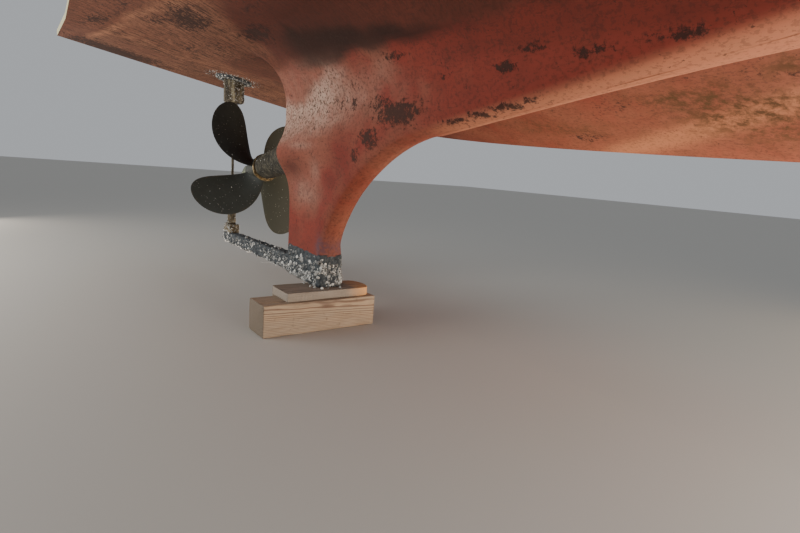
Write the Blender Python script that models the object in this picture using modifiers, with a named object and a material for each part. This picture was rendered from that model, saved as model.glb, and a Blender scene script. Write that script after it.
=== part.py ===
# One stern-gear unit of a twin-screw boat: propeller on its shaft, skeg with shoe
# and heel bar, rudder, the piece of hull they hang from and the timbers below.
# Metres. +X forward, +Y to port, +Z up. The origin lies under the skeg, at the
# foot of the front timber, on the unit's middle plane.
import math

import bmesh
import bpy
import numpy as np
from mathutils import Matrix, Vector

GAP = 0.0003
CUT_PAST = 0.020

# timbers under the shoe
TIMBER_HEIGHT = 0.140
FRONT_TIMBER_FRONT = 0.070
FRONT_TIMBER_WIDTH = 0.158
FRONT_TIMBER_PORT_END = 0.200
FRONT_TIMBER_LENGTH = 0.551
REAR_TIMBER_WIDTH = 0.192
REAR_TIMBER_PORT_END = 0.140
REAR_TIMBER_LENGTH = 0.305
TIMBER_EDGE = 0.004
PLANK_THICKNESS = 0.038
PLANK_WIDTH = 0.160
PLANK_FRONT = 0.047
PLANK_PORT_END = 0.196
PLANK_LENGTH = 0.433
PLANK_END_DEPTH = 0.045

# shoe round the foot of the skeg
SHOE_FRONT = -0.014
SHOE_LENGTH = 0.371
SHOE_HEIGHT = 0.145
SHOE_FRONT_HALF_WIDTH = 0.061
SHOE_AFT_HALF_WIDTH = 0.045
SHOE_CORNER = 0.020
SHOE_WALL = 0.009
SHOE_FLOOR = 0.014

# heel bar from the shoe back to the rudder, and its bearing block
BAR_HALF_WIDTH = 0.027
BAR_FRONT_HEIGHT = 0.080
BAR_AFT_HEIGHT = 0.056
BAR_AFT_BOTTOM = 0.188
BAR_FRONT_BOTTOM_OVER_SHOE_FOOT = 0.004
BAR_TAIL = 0.070
HEEL_BLOCK_HEIGHT = 0.060
HEEL_BLOCK_LENGTH = 0.130
HEEL_BLOCK_HALF_WIDTH = 0.030
BUSH_WALL = 0.005
BUSH_DEPTH = 0.050

# skeg and keel
BODY_HALF_WIDTH = 0.059
BODY_AFT_HALF_WIDTH = 0.044
BODY_TAPER_LENGTH = 0.360
NOSE_LENGTH = 0.075
NOSE_BLUNTNESS = 0.35
ARC_LENGTH = 0.665
ARC_RISE = 0.526
ARC_SHAPE = 1.24
KEEL_DEPTH_AT_FRONT = 0.113
SKEG_FOOT_OVERLAP = 0.030
SKEG_TOP_LEAN = 0.085
SKEG_LEAN_START = 0.15
SKEG_LEAN_END = 0.85
SECTION_LEAN = 0.0665
FLARE_RADIUS = 0.260
AFT_FLARE_RADIUS = 0.120
FLARE_SPLIT = 0.100
TILT_FADE = 0.150
BOSS_RADIUS = 0.104
BOSS_FADE = 0.420
BOSS_SPREAD = 0.095

# piece of hull bottom
HULL_AFT = -1.850
HULL_FRONT = 1.800
HULL_HALF_WIDTH = 0.895
HULL_THICKNESS = 0.030
HULL_HEIGHT_AT_RUDDER = 1.220
HULL_FALL_FORWARD = 0.020
DEADRISE = 0.150
DEADRISE_GROWTH = 0.270
GROWTH_LENGTH = 0.850
GROWTH_START = 0.125
GROWTH_EASE = 0.100

# shaft line
HUB_X = -0.914
HUB_Z = 0.675
SHAFT_RAKE = math.radians(10.5)
SHAFT_RADIUS = 0.0255
SHAFT_FORWARD = 0.810
BEARING_CLEARANCE = 0.0005
RUBBER_WALL = 0.0065
TUBE_WALL = 0.008
TUBE_FORWARD = 0.800
TUBE_END_CLEARANCE = 0.010
HOUSING_AFT = 0.110
HOUSING_LENGTH = 0.405
HOUSING_AFT_RADIUS = 0.066
HOUSING_WAIST_RADIUS = 0.070
HOUSING_FORWARD_RADIUS = 0.094
HOUSING_WALL = 0.010
HOUSING_SEAT_LENGTH = 0.045
HOUSING_COLLAR_LENGTH = 0.030
HOUSING_SHOULDER_LENGTH = 0.170
RIM_THICKNESS = 0.014
RIM_RADIUS = 0.073
RIM_CHAMFER = 0.003
RIM_CLEARANCE = 0.004
HUB_HALF_LENGTH = 0.080
HUB_FORWARD_RADIUS = 0.066
HUB_MIDDLE_RADIUS = 0.064
HUB_AFT_RADIUS = 0.052
HUB_CHAMFER = 0.006
NUT_ACROSS_CORNERS = 0.094
NUT_LENGTH = 0.046
JAM_NUT_LENGTH = 0.028
THREAD_END = 0.022
COTTER_RADIUS = 0.004
COTTER_REACH = 0.034

# propeller blades, right-handed
PROPELLER_RADIUS = 0.406
BLADE_COUNT = 4
FIRST_BLADE_ANGLE = math.radians(134)
PITCH = 0.640
BLADE_ROOT_RADIUS = 0.045
WIDEST_CHORD = 0.282
WIDEST_AT = 0.85
TIP_ROUNDNESS = 7
LEADING_SHIFT = 0.016
ROOT_THICKNESS = 0.022
TIP_THICKNESS = 0.006
TIP_CHORD = 0.030
FACE_HOLLOW = 0.15
SKEW = math.radians(21)
SKEW_SHAPE = 1.6
SKEW_RAKE = 0.5
BLADE_ROWS = 13
BLADE_POINTS = 11

# rudder, swung to port as it was left
RUDDER_X = -1.362
RUDDER_SWING = math.radians(19.2)
RUDDER_THICKNESS = 0.012
RUDDER_HEAD_CLEARANCE = 0.020
RUDDER_BOTTOM = 0.352
RUDDER_BALANCE = 0.092
RUDDER_TAIL = 0.435
RUDDER_TAIL_BOTTOM = 0.470
TAIL_RAKE = 0.020
TAIL_RAKE_HEIGHT = 0.150
TAIL_CORNER = 0.100
FOOT_CORNER = 0.160
FOOT_CORNER_RISE = 0.030
FOOT_AFT = 0.100
FOOT_FRONT = 0.056
BALANCE_RAKE = 0.010
STOCK_RADIUS = 0.025
STOCK_GRIP = 0.200
STOCK_BOLT_RADIUS = 0.007
STOCK_BOLT_HEAD = 0.011
STOCK_BOLT_HEAD_LENGTH = 0.006
STOCK_TOP_OVER_HULL = 0.090
TRUNK_RADIUS = 0.060
TRUNK_CHAMFER = 0.008
TRUNK_WALL = 0.010
TRUNK_BUSH_LENGTH = 0.085
TRUNK_DEPTH_BELOW_HULL = 0.148
TRUNK_TOP_OVER_HULL = 0.045
TRUNK_CLEARANCE = 0.0008
FLANGE_RADIUS = 0.105
FLANGE_THICKNESS = 0.014
PINTLE_RADIUS = 0.019
PINTLE_CLEARANCE = 0.0006
PINTLE_BLOCK_LENGTH = 0.120
PINTLE_BLOCK_HALF_WIDTH = 0.024
PINTLE_BLOCK_TOP = 0.400
PINTLE_BLOCK_AFT_SHARE = 0.6
PINTLE_END_CLEARANCE = 0.004
PINTLE_GRIP = 0.010
PINTLE_RUN = 0.005

SHOE_FOOT = TIMBER_HEIGHT + PLANK_THICKNESS + 2 * GAP
SHOE_TOP = SHOE_FOOT + SHOE_HEIGHT
SHOE_AFT = SHOE_FRONT - SHOE_LENGTH
KEEL_ARC_TOP = SHOE_TOP + ARC_RISE
BORE_HUB = SHAFT_RADIUS + GAP
BORE_RADIUS = SHAFT_RADIUS + BEARING_CLEARANCE
TUBE_INNER = BORE_RADIUS + RUBBER_WALL + GAP
TUBE_OUTER = TUBE_INNER + TUBE_WALL
HEEL_TOP = BAR_AFT_BOTTOM + BAR_AFT_HEIGHT + HEEL_BLOCK_HEIGHT
TRUNK_BOTTOM = HULL_HEIGHT_AT_RUDDER - TRUNK_DEPTH_BELOW_HULL
RUDDER_TOP = TRUNK_BOTTOM - RUDDER_HEAD_CLEARANCE


def clear_scene():
    for old in list(bpy.data.objects):
        bpy.data.objects.remove(old)


def new_collection(name):
    made = bpy.data.collections.new(name)
    bpy.context.scene.collection.children.link(made)
    return made


def new_material(name, color, roughness, metallic):
    made = bpy.data.materials.new(name)
    made.use_nodes = True
    shader = made.node_tree.nodes["Principled BSDF"]
    shader.inputs["Base Color"].default_value = (*color, 1.0)
    shader.inputs["Roughness"].default_value = roughness
    shader.inputs["Metallic"].default_value = metallic
    return made


clear_scene()
PARTS = new_collection("stern_gear")
TOOLS = new_collection("cutters")

TIMBER = new_material("weathered timber", (0.42, 0.33, 0.22), 0.80, 0.0)
SHOE_METAL = new_material("barnacled metal", (0.25, 0.25, 0.24), 0.85, 0.3)
RED_PAINT = new_material("red antifouling", (0.33, 0.07, 0.05), 0.75, 0.0)
FOULED = new_material("fouled bronze", (0.05, 0.06, 0.05), 0.80, 0.2)
BRONZE = new_material("bare bronze", (0.50, 0.30, 0.12), 0.35, 1.0)
GREEN_BRONZE = new_material("green bronze", (0.40, 0.45, 0.36), 0.60, 0.6)
STEEL = new_material("shaft steel", (0.50, 0.49, 0.47), 0.30, 1.0)
RUBBER = new_material("bearing rubber", (0.02, 0.02, 0.02), 0.70, 0.0)
GREY_GROWTH = new_material("grown-over plate", (0.25, 0.23, 0.18), 0.90, 0.0)


def add_object(name, mesh, material, tool=False):
    made = bpy.data.objects.new(name, mesh)
    (TOOLS if tool else PARTS).objects.link(made)
    if material:
        mesh.materials.append(material)
    if tool:
        made.hide_render = True
        made.display_type = "WIRE"
    return made


def mesh_of_faces(name, points, faces):
    made = bpy.data.meshes.new(name)
    made.from_pydata([tuple(p) for p in points], [], faces)
    made.update()
    return made


def mesh_of_bmesh(name, shape):
    made = bpy.data.meshes.new(name)
    shape.to_mesh(made)
    shape.free()
    return made


def box(name, low, high, material, edge=0.0, tool=False):
    shape = bmesh.new()
    bmesh.ops.create_cube(shape, size=1.0)
    size = Vector(high) - Vector(low)
    middle = (Vector(high) + Vector(low)) / 2
    for corner in shape.verts:
        corner.co = Vector(a * b for a, b in zip(corner.co, size)) + middle
    if edge:
        bmesh.ops.bevel(
            shape, geom=shape.edges[:], offset=edge, segments=1, affect="EDGES"
        )
    return add_object(name, mesh_of_bmesh(name, shape), material, tool)


def rod(name, radius, low, high, material, sides=32, tool=False, place=None):
    # a round or many-sided bar along its own Z, from low to high
    shape = bmesh.new()
    bmesh.ops.create_cone(
        shape,
        cap_ends=True,
        segments=sides,
        radius1=radius,
        radius2=radius,
        depth=high - low,
        matrix=Matrix.Translation((0, 0, (low + high) / 2)),
    )
    made = add_object(name, mesh_of_bmesh(name, shape), material, tool)
    if place is not None:
        made.matrix_world = place
    return made


def turned(name, profile, material, closed=False, steps=32, tool=False, place=None):
    # profile: (radius, height), top to bottom on the outer side
    made = bpy.data.meshes.new(name)
    edges = [(i, i + 1) for i in range(len(profile) - 1)]
    if closed:
        edges.append((len(profile) - 1, 0))
    made.from_pydata([(r, 0.0, z) for r, z in profile], edges, [])
    turned_object = add_object(name, made, material, tool)
    screw = turned_object.modifiers.new("turn", "SCREW")
    screw.steps = steps
    screw.render_steps = steps
    screw.use_merge_vertices = True
    screw.merge_threshold = 0.00001
    if place is not None:
        turned_object.matrix_world = place
    return turned_object


def plate(name, outline, thickness, material, tool=False, place=None):
    # a flat outline in its own XY plane, half its thickness to each side
    line = bpy.data.curves.new(name, "CURVE")
    line.dimensions = "2D"
    line.fill_mode = "BOTH"
    line.extrude = thickness / 2
    spline = line.splines.new("POLY")
    spline.points.add(len(outline) - 1)
    for point, (x, y) in zip(spline.points, outline):
        point.co = (x, y, 0.0, 1.0)
    spline.use_cyclic_u = True
    curve_object = bpy.data.objects.new(name + "_outline", line)
    bpy.context.scene.collection.objects.link(curve_object)
    bpy.context.view_layer.update()
    graph = bpy.context.evaluated_depsgraph_get()
    mesh = bpy.data.meshes.new_from_object(curve_object.evaluated_get(graph))
    bpy.data.objects.remove(curve_object)
    mesh.name = name
    shape = bmesh.new()
    shape.from_mesh(mesh)
    bmesh.ops.remove_doubles(shape, verts=shape.verts, dist=0.00001)
    bmesh.ops.recalc_face_normals(shape, faces=shape.faces)
    shape.to_mesh(mesh)
    shape.free()
    made = add_object(name, mesh, material, tool)
    if place is not None:
        made.matrix_world = place
    return made


def boolean(target, other, operation):
    step = target.modifiers.new(other.name, "BOOLEAN")
    step.operation = operation
    step.object = other


def lofted(name, rings, material, tool=False):
    # rings: array of closed rings, all with the same number of points, in order
    count, size = rings.shape[:2]
    points = rings.reshape(-1, 3)
    faces = []
    for i in range(count - 1):
        for j in range(size):
            k = (j + 1) % size
            faces.append(
                (i * size + j, i * size + k, (i + 1) * size + k, (i + 1) * size + j)
            )
    faces.append(tuple(range(size - 1, -1, -1)))
    faces.append(tuple((count - 1) * size + j for j in range(size)))
    mesh = mesh_of_faces(name, points, faces)
    shape = bmesh.new()
    shape.from_mesh(mesh)
    bmesh.ops.remove_doubles(shape, verts=shape.verts, dist=0.00001)
    bmesh.ops.triangulate(
        shape, faces=[f for f in shape.faces if len(f.verts) > 4]
    )
    bmesh.ops.recalc_face_normals(shape, faces=shape.faces)
    shape.to_mesh(mesh)
    shape.free()
    return add_object(name, mesh, material, tool)


def smooth(made, angle=40):
    made.data.shade_smooth()
    made.data.set_sharp_from_angle(angle=math.radians(angle))


# hull and skeg surfaces


def hull_underside(x):
    return HULL_HEIGHT_AT_RUDDER - HULL_FALL_FORWARD * (x - RUDDER_X)


def side_slope(x, y):
    # the hull's drop to port: even at the skeg and behind it, steeper further forward
    # and outboard, eased in beside the skeg
    ahead = np.clip(x - RUDDER_X - FLANGE_RADIUS, 0.0, None)
    growth = DEADRISE_GROWTH * (1 - np.exp(-ahead / GROWTH_LENGTH))
    over = np.clip(np.abs(y) - GROWTH_START, 0.0, None)
    return DEADRISE * y + np.sign(y) * growth * over**2 / (over + GROWTH_EASE)


def flare(depth, radius=FLARE_RADIUS):
    # how far the fillet under the hull stands out, at a depth below the hull;
    # its arc is the same the other way round, depth at a distance out
    rest = np.clip(radius - depth, 0.0, radius)
    return radius - np.sqrt(radius**2 - rest**2)


def shaft_height(x):
    return HUB_Z + (x - HUB_X) * math.tan(SHAFT_RAKE)


def trailing_edge(height):
    # upright at the shoe and near the hull, leaning aft along an S curve between
    share = (height - SHOE_TOP) / (hull_underside(SHOE_AFT) - SHOE_TOP)
    along = (share - SKEG_LEAN_START) / (SKEG_LEAN_END - SKEG_LEAN_START)
    along = np.clip(along, 0.0, 1.0)
    return SHOE_AFT - SKEG_TOP_LEAN * along**2 * (3 - 2 * along)


def leading_arc(turn):
    # a quarter of a superellipse, from upright at the shoe to level at the keel
    x = SHOE_FRONT + ARC_LENGTH * (1 - np.cos(turn) ** ARC_SHAPE)
    z = SHOE_TOP + ARC_RISE * np.sin(turn) ** ARC_SHAPE
    return x, z


def keel_height(x):
    # straight from the end of the arc up to its depth below the hull's front
    arc_end = SHOE_FRONT + ARC_LENGTH
    rise = hull_underside(HULL_FRONT) - KEEL_DEPTH_AT_FRONT - KEEL_ARC_TOP
    return KEEL_ARC_TOP + rise * (x - arc_end) / (HULL_FRONT - arc_end)


def leading_line(count=60):
    # the front of the skeg and then the rising keel, run on past the cut
    turn = np.linspace(0.0, math.pi / 2, count)
    arc_x, arc_z = leading_arc(turn)
    keel_x = np.linspace(arc_x[-1], HULL_FRONT + FLARE_RADIUS, count)[1:]
    keel_z = keel_height(keel_x)
    return np.concatenate([arc_x, keel_x]), np.concatenate([arc_z, keel_z])


def body_half_width(x, z):
    front_x, front_z = leading_line()
    away = np.sqrt(
        (x[..., None] - front_x) ** 2 + (z[..., None] - front_z) ** 2
    ).min(axis=-1)
    blunt = np.clip(1 - away / NOSE_LENGTH, 0.0, 1.0)
    nose = (1 - blunt**3) ** 0.5
    taper = np.clip((SHOE_AFT + BODY_TAPER_LENGTH - x) / BODY_TAPER_LENGTH, 0.0, 1.0)
    width = BODY_HALF_WIDTH - (BODY_HALF_WIDTH - BODY_AFT_HALF_WIDTH) * taper
    reach = np.exp(-np.clip(x - SHOE_AFT, 0.0, None) / BOSS_FADE)
    boss = (BOSS_RADIUS - width) * reach
    boss *= np.exp(-(((z - shaft_height(x)) / BOSS_SPREAD) ** 2))
    depth = hull_underside(x) - z
    return (width + boss) * (NOSE_BLUNTNESS + (1 - NOSE_BLUNTNESS) * nose) + flare(depth)


def tilt(points_y, depth):
    # the hull's rise to the side, fading out down the skeg
    below = np.clip(depth - FLARE_SPLIT, 0, None)
    return -DEADRISE * points_y * np.exp(-below / TILT_FADE)


def skeg_ring_lines():
    # where each section of the skeg starts below, and where it ends at the hull
    turn = np.linspace(0.0, math.pi / 2, 15)[1:]
    foot_x = np.linspace(SHOE_AFT, SHOE_FRONT, 8)
    arc_x, arc_z = leading_arc(turn)
    keel_x = np.linspace(arc_x[-1], HULL_FRONT, 8)[1:]
    low_x = np.concatenate([foot_x, arc_x, keel_x])
    foot_z = np.full(len(foot_x), SHOE_TOP + GAP)
    low_z = np.concatenate([foot_z, arc_z, keel_height(keel_x)])
    top_x = low_x + SECTION_LEAN * np.clip((low_x - SHOE_AFT) / SHOE_LENGTH, 0, 1)
    top_x = np.minimum(top_x, HULL_FRONT)
    return low_x, low_z, top_x


def make_skeg():
    low_x, low_z, top_x = skeg_ring_lines()
    row_crowding = 1.15
    rows = np.linspace(0.0, 1.0, 19) ** row_crowding
    rings = []
    for x0, z0, x1 in zip(low_x, low_z, top_x):
        z1 = hull_underside(x1) - FLARE_SPLIT
        x = x0 + (x1 - x0) * rows
        z = z0 + (z1 - z0) * rows
        if x0 <= SHOE_AFT:
            x = trailing_edge(z) - flare(hull_underside(x) - z, AFT_FLARE_RADIUS)
        half = body_half_width(x, z)
        depth = hull_underside(x) - z
        starboard = np.stack([x, -half, z + tilt(-half, depth)], axis=1)
        port = np.stack([x, half, z + tilt(half, depth)], axis=1)
        rings.append(np.concatenate([starboard[::-1], port]))
    skeg = lofted("skeg", np.array(rings), RED_PAINT)
    foot = prism_between(
        "skeg_foot",
        shoe_outline(-SHOE_WALL - GAP),
        SHOE_FOOT + SHOE_FLOOR + GAP,
        SHOE_TOP + SKEG_FOOT_OVERLAP,
    )
    boolean(skeg, foot, "UNION")
    bore = rod(
        "skeg_bore",
        TUBE_OUTER + GAP,
        HUB_HALF_LENGTH,
        max(TUBE_FORWARD, SHAFT_FORWARD) + TUBE_END_CLEARANCE,
        None,
        tool=True,
        place=shaft_frame(),
    )
    boolean(skeg, bore, "DIFFERENCE")
    seat = rod(
        "housing_seat",
        HOUSING_FORWARD_RADIUS + GAP,
        HUB_HALF_LENGTH,
        HOUSING_AFT + HOUSING_LENGTH + GAP,
        None,
        sides=64,
        tool=True,
        place=shaft_frame(),
    )
    boolean(skeg, seat, "DIFFERENCE")
    smooth(skeg)


def shoe_outline(grow=0.0):
    # plan of the shoe, rounded at the front corners
    middle_x = SHOE_FRONT + grow - SHOE_CORNER
    middle_y = SHOE_FRONT_HALF_WIDTH + grow - SHOE_CORNER
    port = [
        (middle_x + SHOE_CORNER * math.cos(t), middle_y + SHOE_CORNER * math.sin(t))
        for t in np.linspace(0.0, math.pi / 2, 5)
    ]
    port.append((SHOE_AFT - grow, SHOE_AFT_HALF_WIDTH + grow))
    return port + [(x, -y) for x, y in reversed(port)]


def prism_between(name, outline, low, high, material=None, tool=True):
    place = Matrix.Translation((0, 0, (low + high) / 2))
    return plate(name, outline, high - low, material, tool, place)


def make_shoe():
    shoe = prism_between(
        "skeg_shoe", shoe_outline(), SHOE_FOOT, SHOE_TOP, SHOE_METAL, tool=False
    )
    pocket = prism_between(
        "shoe_pocket",
        shoe_outline(-SHOE_WALL),
        SHOE_FOOT + SHOE_FLOOR,
        SHOE_TOP + CUT_PAST,
    )
    boolean(shoe, pocket, "DIFFERENCE")


def upright(x=0.0, swing=0.0):
    # stands an outline up, its X along the boat and its Y upwards
    turn = Matrix.Rotation(-swing, 4, "Z") @ Matrix.Rotation(math.pi / 2, 4, "X")
    return Matrix.Translation((x, 0.0, 0.0)) @ turn


def make_heel_bar():
    front = SHOE_AFT - GAP
    low = SHOE_FOOT + BAR_FRONT_BOTTOM_OVER_SHOE_FOOT
    aft = RUDDER_X - BAR_TAIL
    outline = [
        (front, low),
        (front, low + BAR_FRONT_HEIGHT),
        (aft, BAR_AFT_BOTTOM + BAR_AFT_HEIGHT),
        (aft, BAR_AFT_BOTTOM),
    ]
    plate("heel_bar", outline, 2 * BAR_HALF_WIDTH, SHOE_METAL, False, upright())


def bar_top(x):
    front = SHOE_AFT - GAP
    aft = RUDDER_X - BAR_TAIL
    high = SHOE_FOOT + BAR_FRONT_BOTTOM_OVER_SHOE_FOOT + BAR_FRONT_HEIGHT
    low = BAR_AFT_BOTTOM + BAR_AFT_HEIGHT
    return low + (high - low) * (x - aft) / (front - aft)


def make_heel_block():
    aft = RUDDER_X - HEEL_BLOCK_LENGTH / 2
    front = RUDDER_X + HEEL_BLOCK_LENGTH / 2
    outline = [
        (aft, bar_top(aft) + GAP),
        (aft, HEEL_TOP),
        (front, HEEL_TOP),
        (front, bar_top(front) + GAP),
    ]
    block = plate(
        "heel_block", outline, 2 * HEEL_BLOCK_HALF_WIDTH, SHOE_METAL, False, upright()
    )
    bush_outer = PINTLE_RADIUS + PINTLE_CLEARANCE + BUSH_WALL
    hole = rod(
        "heel_hole",
        bush_outer + GAP,
        HEEL_TOP - BUSH_DEPTH - GAP,
        HEEL_TOP + CUT_PAST,
        None,
        tool=True,
        place=Matrix.Translation((RUDDER_X, 0, 0)),
    )
    boolean(block, hole, "DIFFERENCE")
    inner = PINTLE_RADIUS + PINTLE_CLEARANCE
    profile = [
        (bush_outer, HEEL_TOP),
        (bush_outer, HEEL_TOP - BUSH_DEPTH),
        (inner, HEEL_TOP - BUSH_DEPTH),
        (inner, HEEL_TOP),
    ]
    turned(
        "heel_bush",
        profile,
        RUBBER,
        closed=True,
        place=Matrix.Translation((RUDDER_X, 0, 0)),
    )


def make_hull():
    # plan grid, closer round the skeg; the underside drops where the skeg joins
    near = np.array([0.0, 0.15, 0.31, 0.46, 0.62, 0.81, 1.04, 1.31])
    side = FLARE_RADIUS * near
    side = np.append(side[side < HULL_HALF_WIDTH], HULL_HALF_WIDTH)
    y = np.concatenate([-side[:0:-1], side])
    tail = SHOE_AFT - SKEG_TOP_LEAN
    x = np.concatenate(
        [
            [HULL_AFT, RUDDER_X - FLANGE_RADIUS, RUDDER_X, RUDDER_X + FLANGE_RADIUS],
            np.linspace(RUDDER_X + FLANGE_RADIUS, tail - AFT_FLARE_RADIUS * near[-1], 4)[1:-1],
            tail - AFT_FLARE_RADIUS * near,
            np.linspace(tail, HULL_FRONT, 12)[1:],
        ]
    )
    x = np.unique(x[x >= HULL_AFT])
    grid_x, grid_y = np.meshgrid(x, y, indexing="ij")
    taper = np.clip((SHOE_AFT + BODY_TAPER_LENGTH - grid_x) / BODY_TAPER_LENGTH, 0, 1)
    half = BODY_HALF_WIDTH - (BODY_HALF_WIDTH - BODY_AFT_HALF_WIDTH) * taper
    beside = np.clip(np.abs(grid_y) - half, 0.0, None)
    behind = np.clip(tail - grid_x, 0.0, None)
    same_depth = np.where(behind > 0, flare(flare(behind, AFT_FLARE_RADIUS)), 0.0)
    away = np.sqrt(beside**2 + same_depth**2)
    drop = np.minimum(flare(away), FLARE_SPLIT - GAP)
    slope = hull_underside(grid_x) - side_slope(grid_x, grid_y)
    low = slope - drop
    high = slope + HULL_THICKNESS
    rings = []
    for i in range(len(x)):
        under = np.stack([grid_x[i], grid_y[i], low[i]], axis=1)
        over = np.stack([grid_x[i], grid_y[i], high[i]], axis=1)
        rings.append(np.concatenate([under, over[::-1]]))
    hull = lofted("hull_bottom", np.array(rings), RED_PAINT)
    hole = rod(
        "trunk_hole",
        TRUNK_RADIUS + GAP,
        TRUNK_BOTTOM,
        trunk_top() + CUT_PAST,
        None,
        tool=True,
        place=Matrix.Translation((RUDDER_X, 0, 0)),
    )
    boolean(hull, hole, "DIFFERENCE")
    smooth(hull)


# shaft line


def shaft_frame():
    # its own Z runs forward and up the shaft, from the middle of the hub
    turn = Matrix.Rotation(math.pi / 2 - SHAFT_RAKE, 4, "Y")
    return Matrix.Translation((HUB_X, 0.0, HUB_Z)) @ turn


def make_shaft_line():
    place = shaft_frame()
    housing_front = HOUSING_AFT + HOUSING_LENGTH
    rubber_outer = BORE_RADIUS + RUBBER_WALL
    rod(
        "propeller_shaft",
        SHAFT_RADIUS,
        -HUB_HALF_LENGTH - NUT_LENGTH - JAM_NUT_LENGTH - THREAD_END - 3 * GAP,
        SHAFT_FORWARD,
        STEEL,
        place=place,
    )
    turned(
        "bearing_rubber",
        [
            (rubber_outer, housing_front),
            (rubber_outer, HOUSING_AFT),
            (BORE_RADIUS, HOUSING_AFT),
            (BORE_RADIUS, housing_front),
        ],
        RUBBER,
        closed=True,
        place=place,
    )
    turned(
        "stern_tube",
        [
            (TUBE_OUTER, TUBE_FORWARD),
            (TUBE_OUTER, HOUSING_AFT),
            (TUBE_INNER, HOUSING_AFT),
            (TUBE_INNER, TUBE_FORWARD),
        ],
        BRONZE,
        closed=True,
        place=place,
    )
    inner = TUBE_OUTER + GAP
    collar = housing_front - HOUSING_COLLAR_LENGTH
    halfway = (HOUSING_FORWARD_RADIUS + HOUSING_WAIST_RADIUS) / 2
    outside = [
        (HOUSING_FORWARD_RADIUS, housing_front),
        (HOUSING_FORWARD_RADIUS, collar),
        (halfway, collar - HOUSING_SHOULDER_LENGTH * 0.4),
        (HOUSING_WAIST_RADIUS, collar - HOUSING_SHOULDER_LENGTH),
        (HOUSING_WAIST_RADIUS, HOUSING_AFT + HOUSING_SEAT_LENGTH),
    ]
    inside = [(r - HOUSING_WALL, z) for r, z in outside]
    turned(
        "bearing_housing",
        outside
        + [
            (HOUSING_AFT_RADIUS, HOUSING_AFT),
            (inner, HOUSING_AFT),
            (inner, HOUSING_AFT + HOUSING_SEAT_LENGTH),
        ]
        + inside[::-1],
        FOULED,
        closed=True,
        place=place,
    )
    rim_front = HOUSING_AFT - GAP
    rim_aft = rim_front - RIM_THICKNESS
    turned(
        "bearing_rim",
        [
            (RIM_RADIUS, rim_front),
            (RIM_RADIUS, rim_aft + RIM_CHAMFER),
            (RIM_RADIUS - RIM_CHAMFER, rim_aft),
            (BORE_RADIUS + RIM_CLEARANCE, rim_aft),
            (BORE_RADIUS + RIM_CLEARANCE, rim_front),
        ],
        BRONZE,
        closed=True,
        place=place,
    )


def blade_section(share):
    # one closed section at a share of the way from root to tip, on its cylinder
    radius = BLADE_ROOT_RADIUS + (PROPELLER_RADIUS - BLADE_ROOT_RADIUS) * share
    pitch_angle = math.atan(PITCH / (2 * math.pi * radius))
    out = radius / PROPELLER_RADIUS
    swell = math.sin(math.pi / 2 * min(out / WIDEST_AT, 1.0))
    end = math.sqrt(max(1 - out**TIP_ROUNDNESS, 0.0))
    chord = max(WIDEST_CHORD * swell * end / math.cos(pitch_angle), TIP_CHORD)
    thickness = ROOT_THICKNESS + (TIP_THICKNESS - ROOT_THICKNESS) * share
    along = (1 - np.cos(np.linspace(0.0, math.pi, BLADE_POINTS))) / 2
    back = np.stack([along, np.sqrt(np.clip(along * (1 - along), 0, 1))], axis=1)
    face = back[1:-1][::-1] * (1, -FACE_HOLLOW)
    outline = np.concatenate([back, face])
    across = (outline[:, 0] - 0.5) * chord + LEADING_SHIFT
    rise = outline[:, 1] * thickness
    lag = SKEW * share**SKEW_SHAPE
    turned_by = (across * math.cos(pitch_angle) - rise * math.sin(pitch_angle)) / radius
    ahead = across * math.sin(pitch_angle) + rise * math.cos(pitch_angle)
    ahead = ahead - radius * lag * math.sin(pitch_angle) * SKEW_RAKE
    return radius, turned_by - lag, ahead


def make_propeller():
    place = shaft_frame()
    hub = turned(
        "propeller",
        [
            (BORE_HUB, HUB_HALF_LENGTH),
            (HUB_FORWARD_RADIUS - HUB_CHAMFER, HUB_HALF_LENGTH),
            (HUB_FORWARD_RADIUS, HUB_HALF_LENGTH - HUB_CHAMFER),
            (HUB_MIDDLE_RADIUS, 0.0),
            (HUB_AFT_RADIUS, -HUB_HALF_LENGTH + HUB_CHAMFER),
            (HUB_AFT_RADIUS - HUB_CHAMFER, -HUB_HALF_LENGTH),
            (BORE_HUB, -HUB_HALF_LENGTH),
        ],
        FOULED,
        closed=True,
        place=place,
    )
    row_crowding = 1.4
    shares = 1 - (1 - np.linspace(0.0, 1.0, BLADE_ROWS)) ** row_crowding
    for number in range(BLADE_COUNT):
        start = FIRST_BLADE_ANGLE + number * 2 * math.pi / BLADE_COUNT
        rings = []
        for share in shares:
            radius, angle, ahead = blade_section(share)
            around = start + angle
            # the shaft frame's X points down and its Y to port
            ring = np.stack(
                [-radius * np.sin(around), radius * np.cos(around), ahead], axis=1
            )
            rings.append(ring)
        blade = lofted(f"blade_{number + 1}", np.array(rings), None, tool=True)
        blade.matrix_world = place
        boolean(hub, blade, "UNION")


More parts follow.
